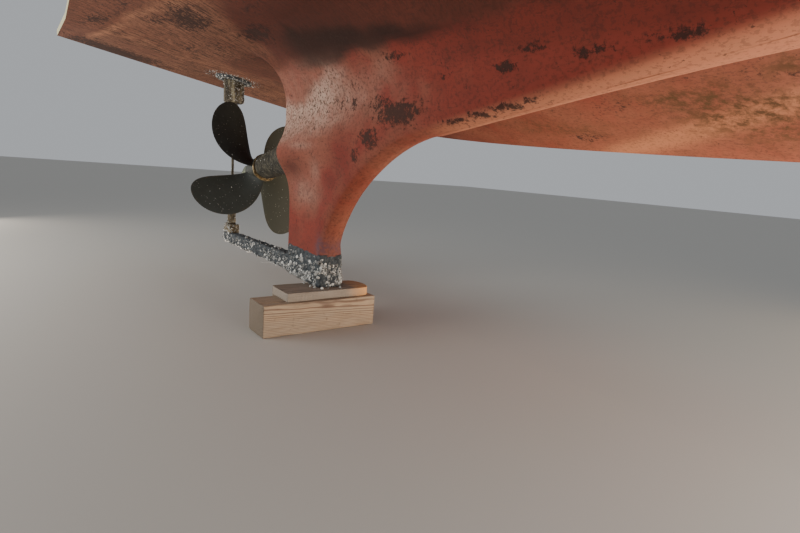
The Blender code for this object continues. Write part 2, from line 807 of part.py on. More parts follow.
def make_nuts():
    place = shaft_frame()
    top = -HUB_HALF_LENGTH - GAP
    thread_length = NUT_LENGTH + JAM_NUT_LENGTH + THREAD_END
    thread = rod(
        "thread_hole",
        BORE_HUB,
        top - thread_length,
        top + CUT_PAST,
        None,
        tool=True,
        place=place,
    )
    for name, length in (("propeller_nut", NUT_LENGTH), ("lock_nut", JAM_NUT_LENGTH)):
        nut = rod(
            name,
            NUT_ACROSS_CORNERS / 2,
            top - length,
            top,
            GREEN_BRONZE,
            sides=6,
            place=place,
        )
        boolean(nut, thread, "DIFFERENCE")
        top -= length + GAP
    pin_place = place @ Matrix.Translation((0, 0, top - THREAD_END / 2))
    pin_place = pin_place @ Matrix.Rotation(math.pi / 2, 4, "X")
    rod(
        "cotter_pin",
        COTTER_RADIUS,
        -COTTER_REACH,
        COTTER_REACH,
        STEEL,
        sides=12,
        place=pin_place,
    )
    hole = rod(
        "cotter_hole",
        COTTER_RADIUS + GAP,
        -COTTER_REACH,
        COTTER_REACH,
        None,
        sides=12,
        tool=True,
        place=pin_place,
    )
    boolean(bpy.data.objects["propeller_shaft"], hole, "DIFFERENCE")


# rudder


def make_rudder():
    place = upright(RUDDER_X, RUDDER_SWING)
    outline = [
        (RUDDER_BALANCE, RUDDER_TOP),
        (-RUDDER_TAIL, RUDDER_TOP),
        (-RUDDER_TAIL + TAIL_RAKE, RUDDER_TAIL_BOTTOM + TAIL_RAKE_HEIGHT),
        (-RUDDER_TAIL + TAIL_CORNER, RUDDER_TAIL_BOTTOM),
        (-RUDDER_TAIL + FOOT_CORNER, RUDDER_BOTTOM + FOOT_CORNER_RISE),
        (-FOOT_AFT, RUDDER_BOTTOM),
        (FOOT_FRONT, RUDDER_BOTTOM),
        (RUDDER_BALANCE - BALANCE_RAKE, RUDDER_BOTTOM + TAIL_RAKE_HEIGHT),
    ]
    blade = plate(
        "rudder_blade", outline, RUDDER_THICKNESS, GREY_GROWTH, False, place
    )
    axis = Matrix.Translation((RUDDER_X, 0, 0))
    stock = rod(
        "rudder_stock",
        STOCK_RADIUS,
        RUDDER_TOP - STOCK_GRIP,
        hull_underside(RUDDER_X) + HULL_THICKNESS + STOCK_TOP_OVER_HULL,
        STEEL,
        place=axis,
    )
    slot_half_width = STOCK_RADIUS + CUT_PAST
    slot_foot = RUDDER_TOP - STOCK_GRIP - CUT_PAST
    slot = plate(
        "stock_slot",
        [
            (-slot_half_width, slot_foot),
            (slot_half_width, slot_foot),
            (slot_half_width, RUDDER_TOP + GAP),
            (-slot_half_width, RUDDER_TOP + GAP),
        ],
        RUDDER_THICKNESS + 2 * GAP,
        None,
        True,
        place,
    )
    boolean(stock, slot, "DIFFERENCE")
    for number, share in enumerate((0.25, 0.75)):
        middle = RUDDER_TOP - STOCK_GRIP * share
        pin = Matrix.Translation((RUDDER_X, 0, middle))
        pin = pin @ Matrix.Rotation(-RUDDER_SWING, 4, "Z")
        pin = pin @ Matrix.Rotation(math.pi / 2, 4, "X")
        reach = STOCK_RADIUS + STOCK_BOLT_HEAD_LENGTH
        hole = rod(
            f"stock_bolt_hole_{number + 1}",
            STOCK_BOLT_RADIUS + GAP,
            -slot_half_width,
            slot_half_width,
            None,
            sides=16,
            tool=True,
            place=pin,
        )
        boolean(stock, hole, "DIFFERENCE")
        boolean(blade, hole, "DIFFERENCE")
        head = STOCK_RADIUS + GAP
        turned(
            f"stock_bolt_{number + 1}",
            [
                (0.0, reach),
                (STOCK_BOLT_HEAD, reach),
                (STOCK_BOLT_HEAD, head),
                (STOCK_BOLT_RADIUS, head),
                (STOCK_BOLT_RADIUS, -head),
                (STOCK_BOLT_HEAD, -head),
                (STOCK_BOLT_HEAD, -reach),
                (0.0, -reach),
            ],
            FOULED,
            steps=16,
            place=pin,
        )
    block_aft = -PINTLE_BLOCK_LENGTH * PINTLE_BLOCK_AFT_SHARE
    block_front = block_aft + PINTLE_BLOCK_LENGTH
    pintle_outline = [
        (block_aft, PINTLE_BLOCK_TOP),
        (block_aft, HEEL_TOP + PINTLE_RUN),
        (block_front, HEEL_TOP + PINTLE_RUN),
        (block_front, PINTLE_BLOCK_TOP),
    ]
    pintle = plate(
        "rudder_pintle",
        pintle_outline,
        2 * PINTLE_BLOCK_HALF_WIDTH,
        FOULED,
        False,
        place,
    )
    pin_rod = rod(
        "pintle_pin",
        PINTLE_RADIUS,
        HEEL_TOP - BUSH_DEPTH + PINTLE_END_CLEARANCE,
        HEEL_TOP + PINTLE_RUN + PINTLE_GRIP,
        None,
        tool=True,
        place=axis,
    )
    boolean(pintle, pin_rod, "UNION")
    grip = plate(
        "pintle_slot",
        [
            (block_aft - CUT_PAST, RUDDER_BOTTOM - GAP),
            (block_front + CUT_PAST, RUDDER_BOTTOM - GAP),
            (block_front + CUT_PAST, PINTLE_BLOCK_TOP + CUT_PAST),
            (block_aft - CUT_PAST, PINTLE_BLOCK_TOP + CUT_PAST),
        ],
        RUDDER_THICKNESS + 2 * GAP,
        None,
        True,
        place,
    )
    boolean(pintle, grip, "DIFFERENCE")


def trunk_top():
    return hull_underside(RUDDER_X) + HULL_THICKNESS + TRUNK_TOP_OVER_HULL


def make_trunk():
    place = Matrix.Translation((RUDDER_X, 0, 0))
    top = trunk_top()
    inner = TRUNK_RADIUS - TRUNK_WALL
    turned(
        "rudder_trunk",
        [
            (TRUNK_RADIUS, top),
            (TRUNK_RADIUS, TRUNK_BOTTOM + TRUNK_CHAMFER),
            (TRUNK_RADIUS - TRUNK_CHAMFER, TRUNK_BOTTOM),
            (inner, TRUNK_BOTTOM),
            (inner, top),
        ],
        FOULED,
        closed=True,
        place=place,
    )
    bush = STOCK_RADIUS + TRUNK_CLEARANCE
    for name, low in (
        ("lower_stock_bush", TRUNK_BOTTOM),
        ("upper_stock_bush", top - TRUNK_BUSH_LENGTH),
    ):
        turned(
            name,
            [
                (inner - GAP, low + TRUNK_BUSH_LENGTH),
                (inner - GAP, low),
                (bush, low),
                (bush, low + TRUNK_BUSH_LENGTH),
            ],
            RUBBER,
            closed=True,
            place=place,
        )
    # the flange lies against the sloping hull
    slope = math.atan(DEADRISE)
    flange_place = Matrix.Translation((RUDDER_X, 0, hull_underside(RUDDER_X)))
    flange_place = flange_place @ Matrix.Rotation(-slope, 4, "X")
    flange_place = flange_place @ Matrix.Rotation(math.atan(HULL_FALL_FORWARD), 4, "Y")
    flange = rod(
        "trunk_flange",
        FLANGE_RADIUS,
        -FLANGE_THICKNESS - 2 * GAP,
        -2 * GAP,
        SHOE_METAL,
        place=flange_place,
    )
    hole = rod(
        "flange_hole",
        TRUNK_RADIUS + GAP,
        TRUNK_BOTTOM,
        top + CUT_PAST,
        None,
        tool=True,
        place=place,
    )
    boolean(flange, hole, "DIFFERENCE")


def make_timbers():
    seam = FRONT_TIMBER_FRONT - FRONT_TIMBER_WIDTH
    box(
        "front_timber",
        (seam, FRONT_TIMBER_PORT_END - FRONT_TIMBER_LENGTH, 0.0),
        (FRONT_TIMBER_FRONT, FRONT_TIMBER_PORT_END, TIMBER_HEIGHT),
        TIMBER,
        TIMBER_EDGE,
    )
    rear_front = seam - GAP
    box(
        "rear_timber",
        (
            rear_front - REAR_TIMBER_WIDTH,
            REAR_TIMBER_PORT_END - REAR_TIMBER_LENGTH,
            0.0,
        ),
        (rear_front, REAR_TIMBER_PORT_END, TIMBER_HEIGHT),
        TIMBER,
        TIMBER_EDGE,
    )
    aft = PLANK_FRONT - PLANK_WIDTH
    middle = (PLANK_FRONT + aft) / 2
    end = PLANK_PORT_END - PLANK_END_DEPTH
    outline = [
        (PLANK_FRONT, PLANK_PORT_END - PLANK_LENGTH),
        (PLANK_FRONT, end),
    ]
    for t in np.linspace(0.0, math.pi, 9)[1:-1]:
        outline.append(
            (
                middle + PLANK_WIDTH / 2 * math.cos(t),
                end + PLANK_END_DEPTH * math.sin(t),
            )
        )
    outline += [(aft, end), (aft, PLANK_PORT_END - PLANK_LENGTH)]
    low = TIMBER_HEIGHT + GAP
    prism_between(
        "packing_plank", outline, low, low + PLANK_THICKNESS, TIMBER, tool=False
    )


make_timbers()
make_shoe()
make_heel_bar()
make_heel_block()
make_skeg()
make_hull()
make_shaft_line()
make_propeller()
make_nuts()
make_trunk()
make_rudder()
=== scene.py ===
import math

import bmesh
import bpy
import numpy as np
from mathutils import Matrix, Vector
from mathutils.geometry import delaunay_2d_cdt


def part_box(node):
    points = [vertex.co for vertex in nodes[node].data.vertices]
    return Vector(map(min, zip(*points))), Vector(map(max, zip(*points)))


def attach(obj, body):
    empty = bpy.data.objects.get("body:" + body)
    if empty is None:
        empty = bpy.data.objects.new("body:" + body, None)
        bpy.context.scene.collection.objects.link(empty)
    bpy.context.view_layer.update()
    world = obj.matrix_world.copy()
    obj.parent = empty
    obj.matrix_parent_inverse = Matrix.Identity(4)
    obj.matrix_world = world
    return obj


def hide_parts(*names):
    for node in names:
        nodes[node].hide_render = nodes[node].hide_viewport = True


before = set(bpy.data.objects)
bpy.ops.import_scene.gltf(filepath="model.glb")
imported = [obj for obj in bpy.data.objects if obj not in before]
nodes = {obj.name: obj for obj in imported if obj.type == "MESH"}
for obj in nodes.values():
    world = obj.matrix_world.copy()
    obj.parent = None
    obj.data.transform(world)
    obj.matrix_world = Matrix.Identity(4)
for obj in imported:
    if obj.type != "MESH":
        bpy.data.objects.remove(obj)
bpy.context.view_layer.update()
chance = np.random.default_rng(11)
print("frame loaded")


# small tools

def linearColour(code):
    # sRGB hex to linear light: divide by 12.92 when dark, else a power of 2.4
    part = np.array([int(code[i:i + 2], 16) for i in (1, 3, 5)]) / 255
    light = np.where(part <= 0.04045, part / 12.92, ((part + 0.055) / 1.055) ** 2.4)
    return (*(float(v) for v in light), 1.0)


def softStep(low, high, value):
    # 0 below low, 1 above high, an S curve between
    t = np.clip((value - low) / (high - low), 0, 1)
    return t * t * (3 - 2 * t)


def between(start, end, share):
    # a straight blend: the start at share 0, the end at share 1
    return start + (end - start) * share


def unit(ways):
    # the same directions, each 1 long
    return ways / (np.linalg.norm(ways, axis=-1, keepdims=True) + 1e-12)


def cornerValue(ix, iy, iz, seed):
    # a fixed number from -1 to 1 for each corner of a cubic lattice
    mixed = (ix * 73856093) ^ (iy * 19349663) ^ (iz * 83492791) ^ (seed * 2654435)
    mixed = ((mixed ^ (mixed >> 13)) * 1274126177) & 0x7FFFFFFF
    mixed = ((mixed ^ (mixed >> 15)) * 668265263) & 0x7FFFFFFF
    return ((mixed >> 7) & 0xFFFFF) / 0x7FFFF - 1


def cloudy(points, size, seed=1, layers=1):
    # value noise: corner numbers of a lattice with that cell size, blended by an S curve;
    # each further layer has half the size and half the strength
    total = np.zeros(points.shape[:-1])
    for layer in range(layers):
        spot = points / (size / 2 ** layer)
        low = np.floor(spot).astype(np.int64)
        part = spot - low
        soft = part * part * (3 - 2 * part)
        for corner in np.ndindex(2, 2, 2):
            weight = np.prod(np.where(corner, soft, 1 - soft), axis=-1)
            cell = low + corner
            value = cornerValue(cell[..., 0], cell[..., 1], cell[..., 2], seed + layer)
            total += weight * value / 2 ** layer
    return total


def outwardOf(grid):
    # normals of closed rings, from the cross product of the grid's two directions,
    # turned away from the middle of each ring
    across = np.roll(grid, -1, axis=1) - np.roll(grid, 1, axis=1)
    normal = unit(np.cross(np.gradient(grid, axis=0), across))
    middle = grid.mean(axis=1, keepdims=True)
    return normal * np.sign(np.sum(normal * (grid - middle), axis=(0, 1, 2)))


def swollen(grid, swell):
    # closed rings pushed out along their normals, in metres for each point
    return grid + outwardOf(grid) * swell[..., None]


def ringQuads(index):
    # quads between each ring of numbers and the next, and the numbers one step round
    after = np.roll(index, -1, axis=1)
    quads = np.stack([index[:-1], after[:-1], after[1:], index[1:]], -1)
    return quads.reshape(-1, 4), after


def ringSkin(grid, capped=True):
    # closed rings of points joined by quads; both ends are closed by a fan to the middle
    rows, count = grid.shape[:2]
    index = np.arange(rows * count).reshape(rows, count)
    quads, after = ringQuads(index)
    points, fans = [grid.reshape(-1, 3)], [np.zeros((0, 3), int)]
    for row in (0, -1) if capped else ():
        centre = np.full(count, rows * count + len(points) - 1)
        first, second = (index, after) if row else (after, index)
        fans.append(np.stack([first[row], second[row], centre], -1))
        points.append(grid[row].mean(axis=0)[None])
    return turnedOut(np.concatenate(points), quads, np.concatenate(fans))


def turnedOut(points, quads, fans):
    # the sum of (a x b) . c over all triangles is six times the volume: if it is
    # negative, every face is turned over
    a, b, c, d = (points[quads[:, i]] for i in range(4))
    volume = np.sum(np.cross(a, b) * c) + np.sum(np.cross(a, c) * d)
    a, b, c = (points[fans[:, i]] for i in range(3))
    volume += np.sum(np.cross(a, b) * c)
    if volume < 0:
        quads, fans = quads[:, ::-1], fans[:, ::-1]
    return points, quads, fans


def dressPiece(name, mesh, materials, body, sharp, replaced, marks):
    # paints a mesh's marks, named numbers with one for each point, gives it its
    # materials, and makes it a piece that rides on a body and replaces CAD nodes
    for mark, values in marks.items():
        layer = mesh.attributes.new(mark, "FLOAT", "POINT")
        layer.data.foreach_set("value", np.asarray(values, np.float32).ravel())
    for material in materials:
        mesh.materials.append(material)
    mesh.shade_smooth()
    mesh.set_sharp_from_angle(angle=math.radians(sharp))
    mesh.update()
    piece = bpy.data.objects.new(name, mesh)
    bpy.context.scene.collection.objects.link(piece)
    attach(piece, body)
    if replaced:
        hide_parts(*replaced)


def makePiece(name, skins, material, body, sharp, replaced=(), marks=None):
    # joins skins, (points, quads, triangles) each, to one mesh
    faces, start = [], 0
    for points, quads, fans in skins:
        faces += (quads + start).tolist() + (fans + start).tolist()
        start += len(points)
    mesh = bpy.data.meshes.new(name)
    mesh.from_pydata(np.concatenate([skin[0] for skin in skins]).tolist(), [], faces)
    dressPiece(name, mesh, [material], body, sharp, replaced, marks or {})


def pickSpots(grid, count, wish=None):
    # random places on the quads of closed rings, by area times wish, with their normals
    grid = np.concatenate([grid, grid[:, :1]], axis=1)
    a, b, c, d = grid[:-1, :-1], grid[:-1, 1:], grid[1:, 1:], grid[1:, :-1]
    cross = np.cross(c - a, d - b)
    size = np.linalg.norm(cross, axis=-1)
    middle = grid.mean(axis=1)
    inner = (middle[:-1] + middle[1:])[:, None] / 2
    away = np.sign(np.sum(cross * (a - inner))) * cross / (size[..., None] + 1e-12)
    odds = size * (1 if wish is None else np.clip(wish[:-1], 0, None))
    odds = odds.ravel() / odds.sum()
    chosen = chance.choice(len(odds), count, p=odds)
    u, v = chance.random((2, count, 1))
    a, b, c, d = (q.reshape(-1, 3)[chosen] for q in (a, b, c, d))
    spots = a * (1 - u) * (1 - v) + b * u * (1 - v) + c * u * v + d * (1 - u) * v
    return spots, away.reshape(-1, 3)[chosen]


barnacle = {
    "sides": 7,
    "out": (1.0, 0.66, 0.40, 0.27),        # foot, shoulder, lip and inside of the mouth
    "rise": (-0.30, 0.45, 0.78, 0.30),     # their heights, as shares of the radius
    "hollow": (0.0, 0.15, 0.55, 1.0),      # how far each lies in the mouth
    "lean": 0.22, "rough": 0.10,
    "stretch": (0.75, 1.25), "tall": (0.6, 1.25),
}


def addBarnacles(name, spots, normals, radii, body):
    # each shell is four rings round its normal, at share-of-radius distances and
    # heights, with a jitter on every point
    sides, count = barnacle["sides"], len(spots)
    out, rise = np.array(barnacle["out"]), np.array(barnacle["rise"])
    normals = unit(normals + chance.normal(0, barnacle["lean"], normals.shape))
    helper = np.where(np.abs(normals[:, 2:]) > 0.8, [[1.0, 0, 0]], [[0, 0, 1.0]])
    first = unit(np.cross(normals, helper))
    second = np.cross(normals, first)
    turn = 2 * np.pi * (np.arange(sides)[None] / sides + chance.random((count, 1)))
    stretch = chance.uniform(*barnacle["stretch"], (count, 1))
    ring = (np.cos(turn) * stretch)[..., None] * first[:, None]
    ring = ring + (np.sin(turn) / stretch)[..., None] * second[:, None]
    tall = chance.uniform(*barnacle["tall"], (count, 1, 1, 1))
    rough = 1 + chance.normal(0, barnacle["rough"], (count, 4, sides, 1))
    points = spots[:, None, None] + radii[:, None, None, None] * (
        out[:, None, None] * rough * ring[:, None]
        + rise[:, None, None] * tall * normals[:, None, None]
    )
    mouth = points[:, 3].mean(axis=1, keepdims=True)
    points = np.concatenate([points.reshape(count, -1, 3), mouth], axis=1)
    each = 4 * sides + 1
    index = np.arange(4 * sides).reshape(4, sides)
    quads, after = ringQuads(index)
    fans = np.stack([index[3], after[3], np.full(sides, 4 * sides)], -1)
    under = np.stack([np.full(sides - 2, 0), index[0, 2:], index[0, 1:-1]], -1)
    shift = np.arange(count)[:, None, None] * each
    quads = (quads + shift).reshape(-1, 4)
    fans = (np.concatenate([fans, under]) + shift).reshape(-1, 3)
    marks = {
        "mouth": np.tile([*np.repeat(barnacle["hollow"], sides), 1.0], count),
        "tone": np.repeat(chance.random(count), each),
    }
    makePiece(name, [turnedOut(points.reshape(-1, 3), quads, fans)], barnacleShell, body,
              50, (), marks)


def shellSizes(count, span):
    # many small, few large: the span times the square of a random share
    return between(*span, chance.random(count) ** 2.0)


def growShells(name, grid, look, body, wish=None):
    # shells all over a skin, as many and as large as its dict says
    spots, normals = pickSpots(grid, look["shells"], wish)
    addBarnacles(name, spots, normals, shellSizes(look["shells"], look["radius"]), body)


def roundedLoop(corners, radius, count, steps=6):
    # a closed outline with each corner replaced by an arc: start and end lie the radius
    # from the corner, at most 0.45 of a side, and points follow a quadratic curve. Then
    # the outline gets count points at even distances along it
    corners = np.asarray(corners, float)
    before = np.roll(corners, 1, axis=0) - corners
    beyond = np.roll(corners, -1, axis=0) - corners
    reach = np.minimum(radius, 0.45 * np.linalg.norm(before, axis=1))
    reach = np.minimum(reach, 0.45 * np.linalg.norm(beyond, axis=1))[:, None]
    start, end = corners + unit(before) * reach, corners + unit(beyond) * reach
    t = np.linspace(0, 1, steps)[None, :, None]
    arcs = start[:, None] * (1 - t) ** 2 + 2 * corners[:, None] * t * (1 - t)
    loop = (arcs + end[:, None] * t ** 2).reshape(-1, 2)
    closed = np.concatenate([loop, loop[:1]])
    far = np.concatenate([[0], np.cumsum(np.linalg.norm(np.diff(closed, axis=0), axis=1))])
    want = np.linspace(0, far[-1], count, endpoint=False)
    return np.stack([np.interp(want, far, closed[:, k]) for k in range(2)], -1)


def boxCorners(front, aft, half):
    # the corners of a rectangle that lies evenly on both sides
    return [(front, half), (aft, half), (aft, -half), (front, -half)]


def fullTurn(count):
    # angles at even steps once round, as one row
    return np.linspace(0, 2 * np.pi, count, endpoint=False)[None]


def roundRings(radius, around, height):
    # rings round the axis: a radius for each point and a height for each row
    return np.stack([radius * np.cos(around), radius * np.sin(around),
                     np.repeat(height, around.size, axis=1)], -1)


# materials

def addNode(tree, kind, settings=None, links=None):
    # adds a node, sets its settings, and fills or links its inputs by name or number
    node = tree.nodes.new("ShaderNode" + kind)
    for name, value in (settings or {}).items():
        setattr(node, name, value)
    for name, value in (links or {}).items():
        if isinstance(value, bpy.types.NodeSocket):
            tree.links.new(value, node.inputs[name])
        else:
            node.inputs[name].default_value = value
    return node


def newFinish(name, roughness, metallic=0.0, specular=0.5):
    # a material with its shader and its Object coordinates
    finish = bpy.data.materials.new(name)
    finish.use_nodes = True
    tree = finish.node_tree
    shader = tree.nodes["Principled BSDF"]
    shader.inputs["Roughness"].default_value = roughness
    shader.inputs["Metallic"].default_value = metallic
    shader.inputs["Specular IOR Level"].default_value = specular
    place = addNode(tree, "TexCoord").outputs["Object"]
    return finish, tree, shader, place


def layOver(tree, place, colour, layers):
    # lays tints over a colour, one above the other. A tint shows where its mark is painted,
    # or by a cloud of noise (scale, detail, roughness) cut from low and high to bottom and
    # top, or by both, multiplied or added; "again" cuts that once more, to 0 and a new top
    amounts, clouds = [], []
    for layer in layers:
        amount = noise = None
        if "mark" in layer:
            amount = addNode(tree, "Attribute", {
                "attribute_name": layer["mark"]}).outputs["Fac"]
        if "cloud" in layer:
            scale, detail, roughness = layer["cloud"]
            low, high, bottom, top = layer["cut"]
            drawn = addNode(tree, "Mapping", None, {
                "Vector": place, "Rotation": layer.get("turned", (0, 0, 0)),
                "Scale": layer.get("drawn", (1, 1, 1))})
            noise = addNode(tree, "TexNoise", None, {
                "Vector": drawn.outputs[0], "Scale": scale, "Detail": detail,
                "Roughness": roughness}).outputs["Fac"]
            cut = addNode(tree, "MapRange", None, {
                "Value": noise, "From Min": low, "From Max": high, "To Min": bottom,
                "To Max": top}).outputs[0]
            amount = cut if amount is None else addNode(tree, "Math", {
                "operation": layer.get("kind", "MULTIPLY")}, {0: amount, 1: cut}).outputs[0]
        if "again" in layer:
            low, high, top = layer["again"]
            amount = addNode(tree, "MapRange", None, {
                "Value": amount, "From Min": low, "From Max": high, "To Max": top}).outputs[0]
        tint = layer["tint"]
        colour = addNode(tree, "Mix", {
            "data_type": "RGBA", "blend_type": layer.get("blend", "MIX")}, {
            0: amount, 6: colour,
            7: linearColour(tint) if isinstance(tint, str) else tint}).outputs[2]
        amounts.append(amount)
        clouds.append(noise)
    return colour, amounts, clouds


def closeFinish(tree, shader, colour, reliefs):
    # links the colour, and chains the reliefs: height, strength, depth in metres, sunk
    tree.links.new(colour, shader.inputs["Base Color"])
    normal = None
    for height, strength, depth, sunk in reliefs:
        links = {"Height": height, "Strength": strength, "Distance": depth}
        if normal is not None:
            links["Normal"] = normal
        normal = addNode(tree, "Bump", {"invert": sunk}, links).outputs[0]
    tree.links.new(normal, shader.inputs["Normal"])


paintCoat = "#854f3e"  # red antifouling, weathered to a dusty pink-brown
paintLayers = [
    # newer, redder coat in clouds of 200 mm; the darker red band inside the leading line is also
    # painted shade
    {"tint": "#7f3429", "mark": "redCoatAndShade", "kind": "ADD", "cloud": (5, 5, 0.6),
     "cut": (0.40, 0.75, 0, 0.55)},
    # the hull bottom is duller, partly dirt and partly painted shade, and browner behind the
    # skeg
    {"tint": "#612f23", "mark": "hull"},
    {"tint": "#96664e", "mark": "aft"},
    # broad shade, drag along the hull, and wash marks 6 mm high and 30 mm long
    {"tint": "#4a261d", "cloud": (11, 6, 0.7), "cut": (0.46, 0.70, 0, 0.30)},
    {"tint": "#4a261d", "cloud": (1, 5, 0.7), "cut": (0.48, 0.74, 0, 0.16),
     "drawn": (3, 45, 60)},
    {"tint": "#4a261d", "cloud": (1, 5, 0.7), "cut": (0.56, 0.64, 0, 0.42),
     "drawn": (34, 70, 150)},
    # rubbed bare along the keel's edge, where it also stands for a painted warm highlight, and a
    # black-brown band high beside the skeg, partly dirt and partly painted shade, with more
    # painted shade on the skeg
    {"tint": "#b87f60", "mark": "bare"},
    {"tint": "#27140e", "mark": "filmAndPaintedShade"},
    # chalked and sun-bleached, in ragged clouds of 30 to 60 mm
    {"tint": "#b49a8b", "mark": "chalk", "cloud": (24, 8, 0.75), "cut": (0.30, 0.62, 0.35, 1)},
    # hair-thin slime streaks across the hull: 8 mm wide, 90 mm long
    {"tint": "#251711", "mark": "across", "cloud": (1, 6, 0.74), "cut": (0.47, 0.60, 0, 0.92),
     "drawn": (120, 9, 50)},
    # pits of 4 to 8 mm, thick in the chalk and thin elsewhere
    {"tint": "#3b261e", "mark": "pits", "cloud": (88, 3, 0.65), "cut": (0.525, 0.585, 0, 1)},
    # dark spots of 12 mm over everything, more of them in the chalk
    {"tint": "#35201a", "mark": "spots", "kind": "ADD", "cloud": (50, 4, 0.7),
     "cut": (0.40, 0.72, 0, 1), "again": (0.78, 0.88, 0.75)},
    # dried olive slime with darker veins, and a purple-grey stain low on the skeg
    {"tint": "#4d331d", "mark": "olive", "cloud": (26, 8, 0.72), "cut": (0.42, 0.58, 0.20, 1)},
    {"tint": "#5c4048", "mark": "stain", "cloud": (60, 6, 0.7), "cut": (0.35, 0.55, 0, 1)},
    # growth keeps to its patches, with ragged edges
    {"tint": "#35201a", "mark": "foul", "kind": "ADD", "cloud": (44, 8, 0.78),
     "cut": (0.34, 0.68, 0, 1), "again": (0.98, 1.24, 0.92)},
    # short pale scratches
    {"tint": "#cbb0a2", "cloud": (2.4, 6, 0.8), "cut": (0.715, 0.75, 0, 0.6),
     "turned": (0, 0.6, 0.2), "drawn": (6, 6, 60)},
]


def makePaint():
    # soft antifouling rolled on a moulded hull: matt, chalky, pitted, with slime, and with
    # painted shade and highlights in its marks. The relief is a roller stipple of 2 mm, the pits
    # and the growth
    finish, tree, shader, place = newFinish("rolledAntifouling", 0.82, 0, 0.25)
    colour, amounts, _ = layOver(tree, place, linearColour(paintCoat), paintLayers)
    shownBy = {layer.get("mark"): amount for layer, amount in zip(paintLayers, amounts)}
    stipple = addNode(tree, "TexNoise", None, {"Vector": place, "Scale": 320, "Detail": 2})
    closeFinish(tree, shader, colour, [
        (stipple.outputs["Fac"], 0.25, 0.0008, False),
        (shownBy["pits"], 0.5, 0.0010, True), (shownBy["foul"], 0.6, 0.0016, False)])
    return finish


def makeLaminateEdge():
    # glass laminate sawn through: pale green-brown layers 3 mm thick
    finish, tree, shader, place = newFinish("sawnGlassLaminate", 0.55)
    ply = addNode(tree, "TexWave", {"bands_direction": "Z"}, {
        "Vector": place, "Scale": 105, "Distortion": 1.4, "Detail": 3,
        "Detail Scale": 0.6}).outputs["Fac"]
    layer = addNode(tree, "Mix", {"data_type": "RGBA"}, {
        0: ply, 6: linearColour("#9f9a78"), 7: linearColour("#c2bd9a")})
    closeFinish(tree, shader, layer.outputs[2], [(ply, 0.3, 0.0005, False)])
    return finish


def makeLaminateInside():
    # the inner face of the laminate: resin over chopped glass, strands 25 mm long
    finish, tree, shader, place = newFinish("brushedResinMat", 0.42)
    strand = addNode(tree, "TexVoronoi", {"feature": "DISTANCE_TO_EDGE"}, {
        "Vector": place, "Scale": 95})
    colour, _, _ = layOver(tree, place, linearColour("#8d8f77"), [
        {"tint": "#b9b79c", "cloud": (7, 6, 0.65), "cut": (0, 1, 0, 1)}])
    closeFinish(tree, shader, colour, [(strand.outputs["Distance"], 0.5, 0.0012, False)])
    return finish


def makeGrowth(name, colours, scale, roughness=0.9, relief=0.0022, drawn=(1, 1, 1)):
    # dried marine growth: three tones in clouds of about 1 / scale metres, coarse relief,
    # and small round flecks in the fourth colour
    finish, tree, shader, place = newFinish(name, roughness, 0, 0.3)
    stretched = addNode(tree, "Mapping", None, {"Vector": place, "Scale": drawn})
    cloud = addNode(tree, "TexNoise", None, {
        "Vector": stretched.outputs[0], "Scale": scale, "Detail": 8,
        "Roughness": 0.7}).outputs["Fac"]
    tone = addNode(tree, "ValToRGB", None, {"Fac": cloud})
    stops = tone.color_ramp.elements
    stops[0].position, stops[1].position = 0.34, 0.66
    stops[0].color, stops[1].color = linearColour(colours[0]), linearColour(colours[2])
    stops.new(0.5).color = linearColour(colours[1])
    fleck = addNode(tree, "TexVoronoi", None, {"Vector": place, "Scale": scale * 5})
    fleckShown = addNode(tree, "MapRange", None, {
        "Value": fleck.outputs["Distance"], "From Min": 0.10, "From Max": 0.22,
        "To Min": 0.75, "To Max": 0})
    colour = addNode(tree, "Mix", {"data_type": "RGBA"}, {
        0: fleckShown.outputs[0], 6: tone.outputs[0], 7: linearColour(colours[3])})
    fine = addNode(tree, "TexNoise", None, {
        "Vector": place, "Scale": scale * 6, "Detail": 5, "Roughness": 0.7})
    closeFinish(tree, shader, colour.outputs[2], [
        (cloud, 0.7, relief * 2, False), (fine.outputs["Fac"], 0.8, relief, False)])
    return finish


def makeShell():
    # barnacle shells: grey to bone white, each in its own tone, with a dark mouth
    finish, tree, shader, place = newFinish("dryBarnacleShell", 0.7)
    tone = addNode(tree, "Attribute", {"attribute_name": "tone"}).outputs["Fac"]
    ramp = addNode(tree, "ValToRGB", None, {"Fac": tone})
    stops = ramp.color_ramp.elements
    stops[0].color, stops[1].color = linearColour("#666868"), linearColour("#e8e8e4")
    stops.new(0.35).color = linearColour("#929493")
    stops.new(0.72).color = linearColour("#c8c9c6")
    colour, _, clouds = layOver(tree, place, ramp.outputs[0], [
        {"tint": "#55504a", "cloud": (260, 4, 0.7), "cut": (0.48, 0.70, 0, 0.5)},
        {"tint": "#1e1c1a", "mark": "mouth", "again": (0.55, 0.95, 1)}])
    closeFinish(tree, shader, colour, [(clouds[0], 0.6, 0.0008, False)])
    return finish


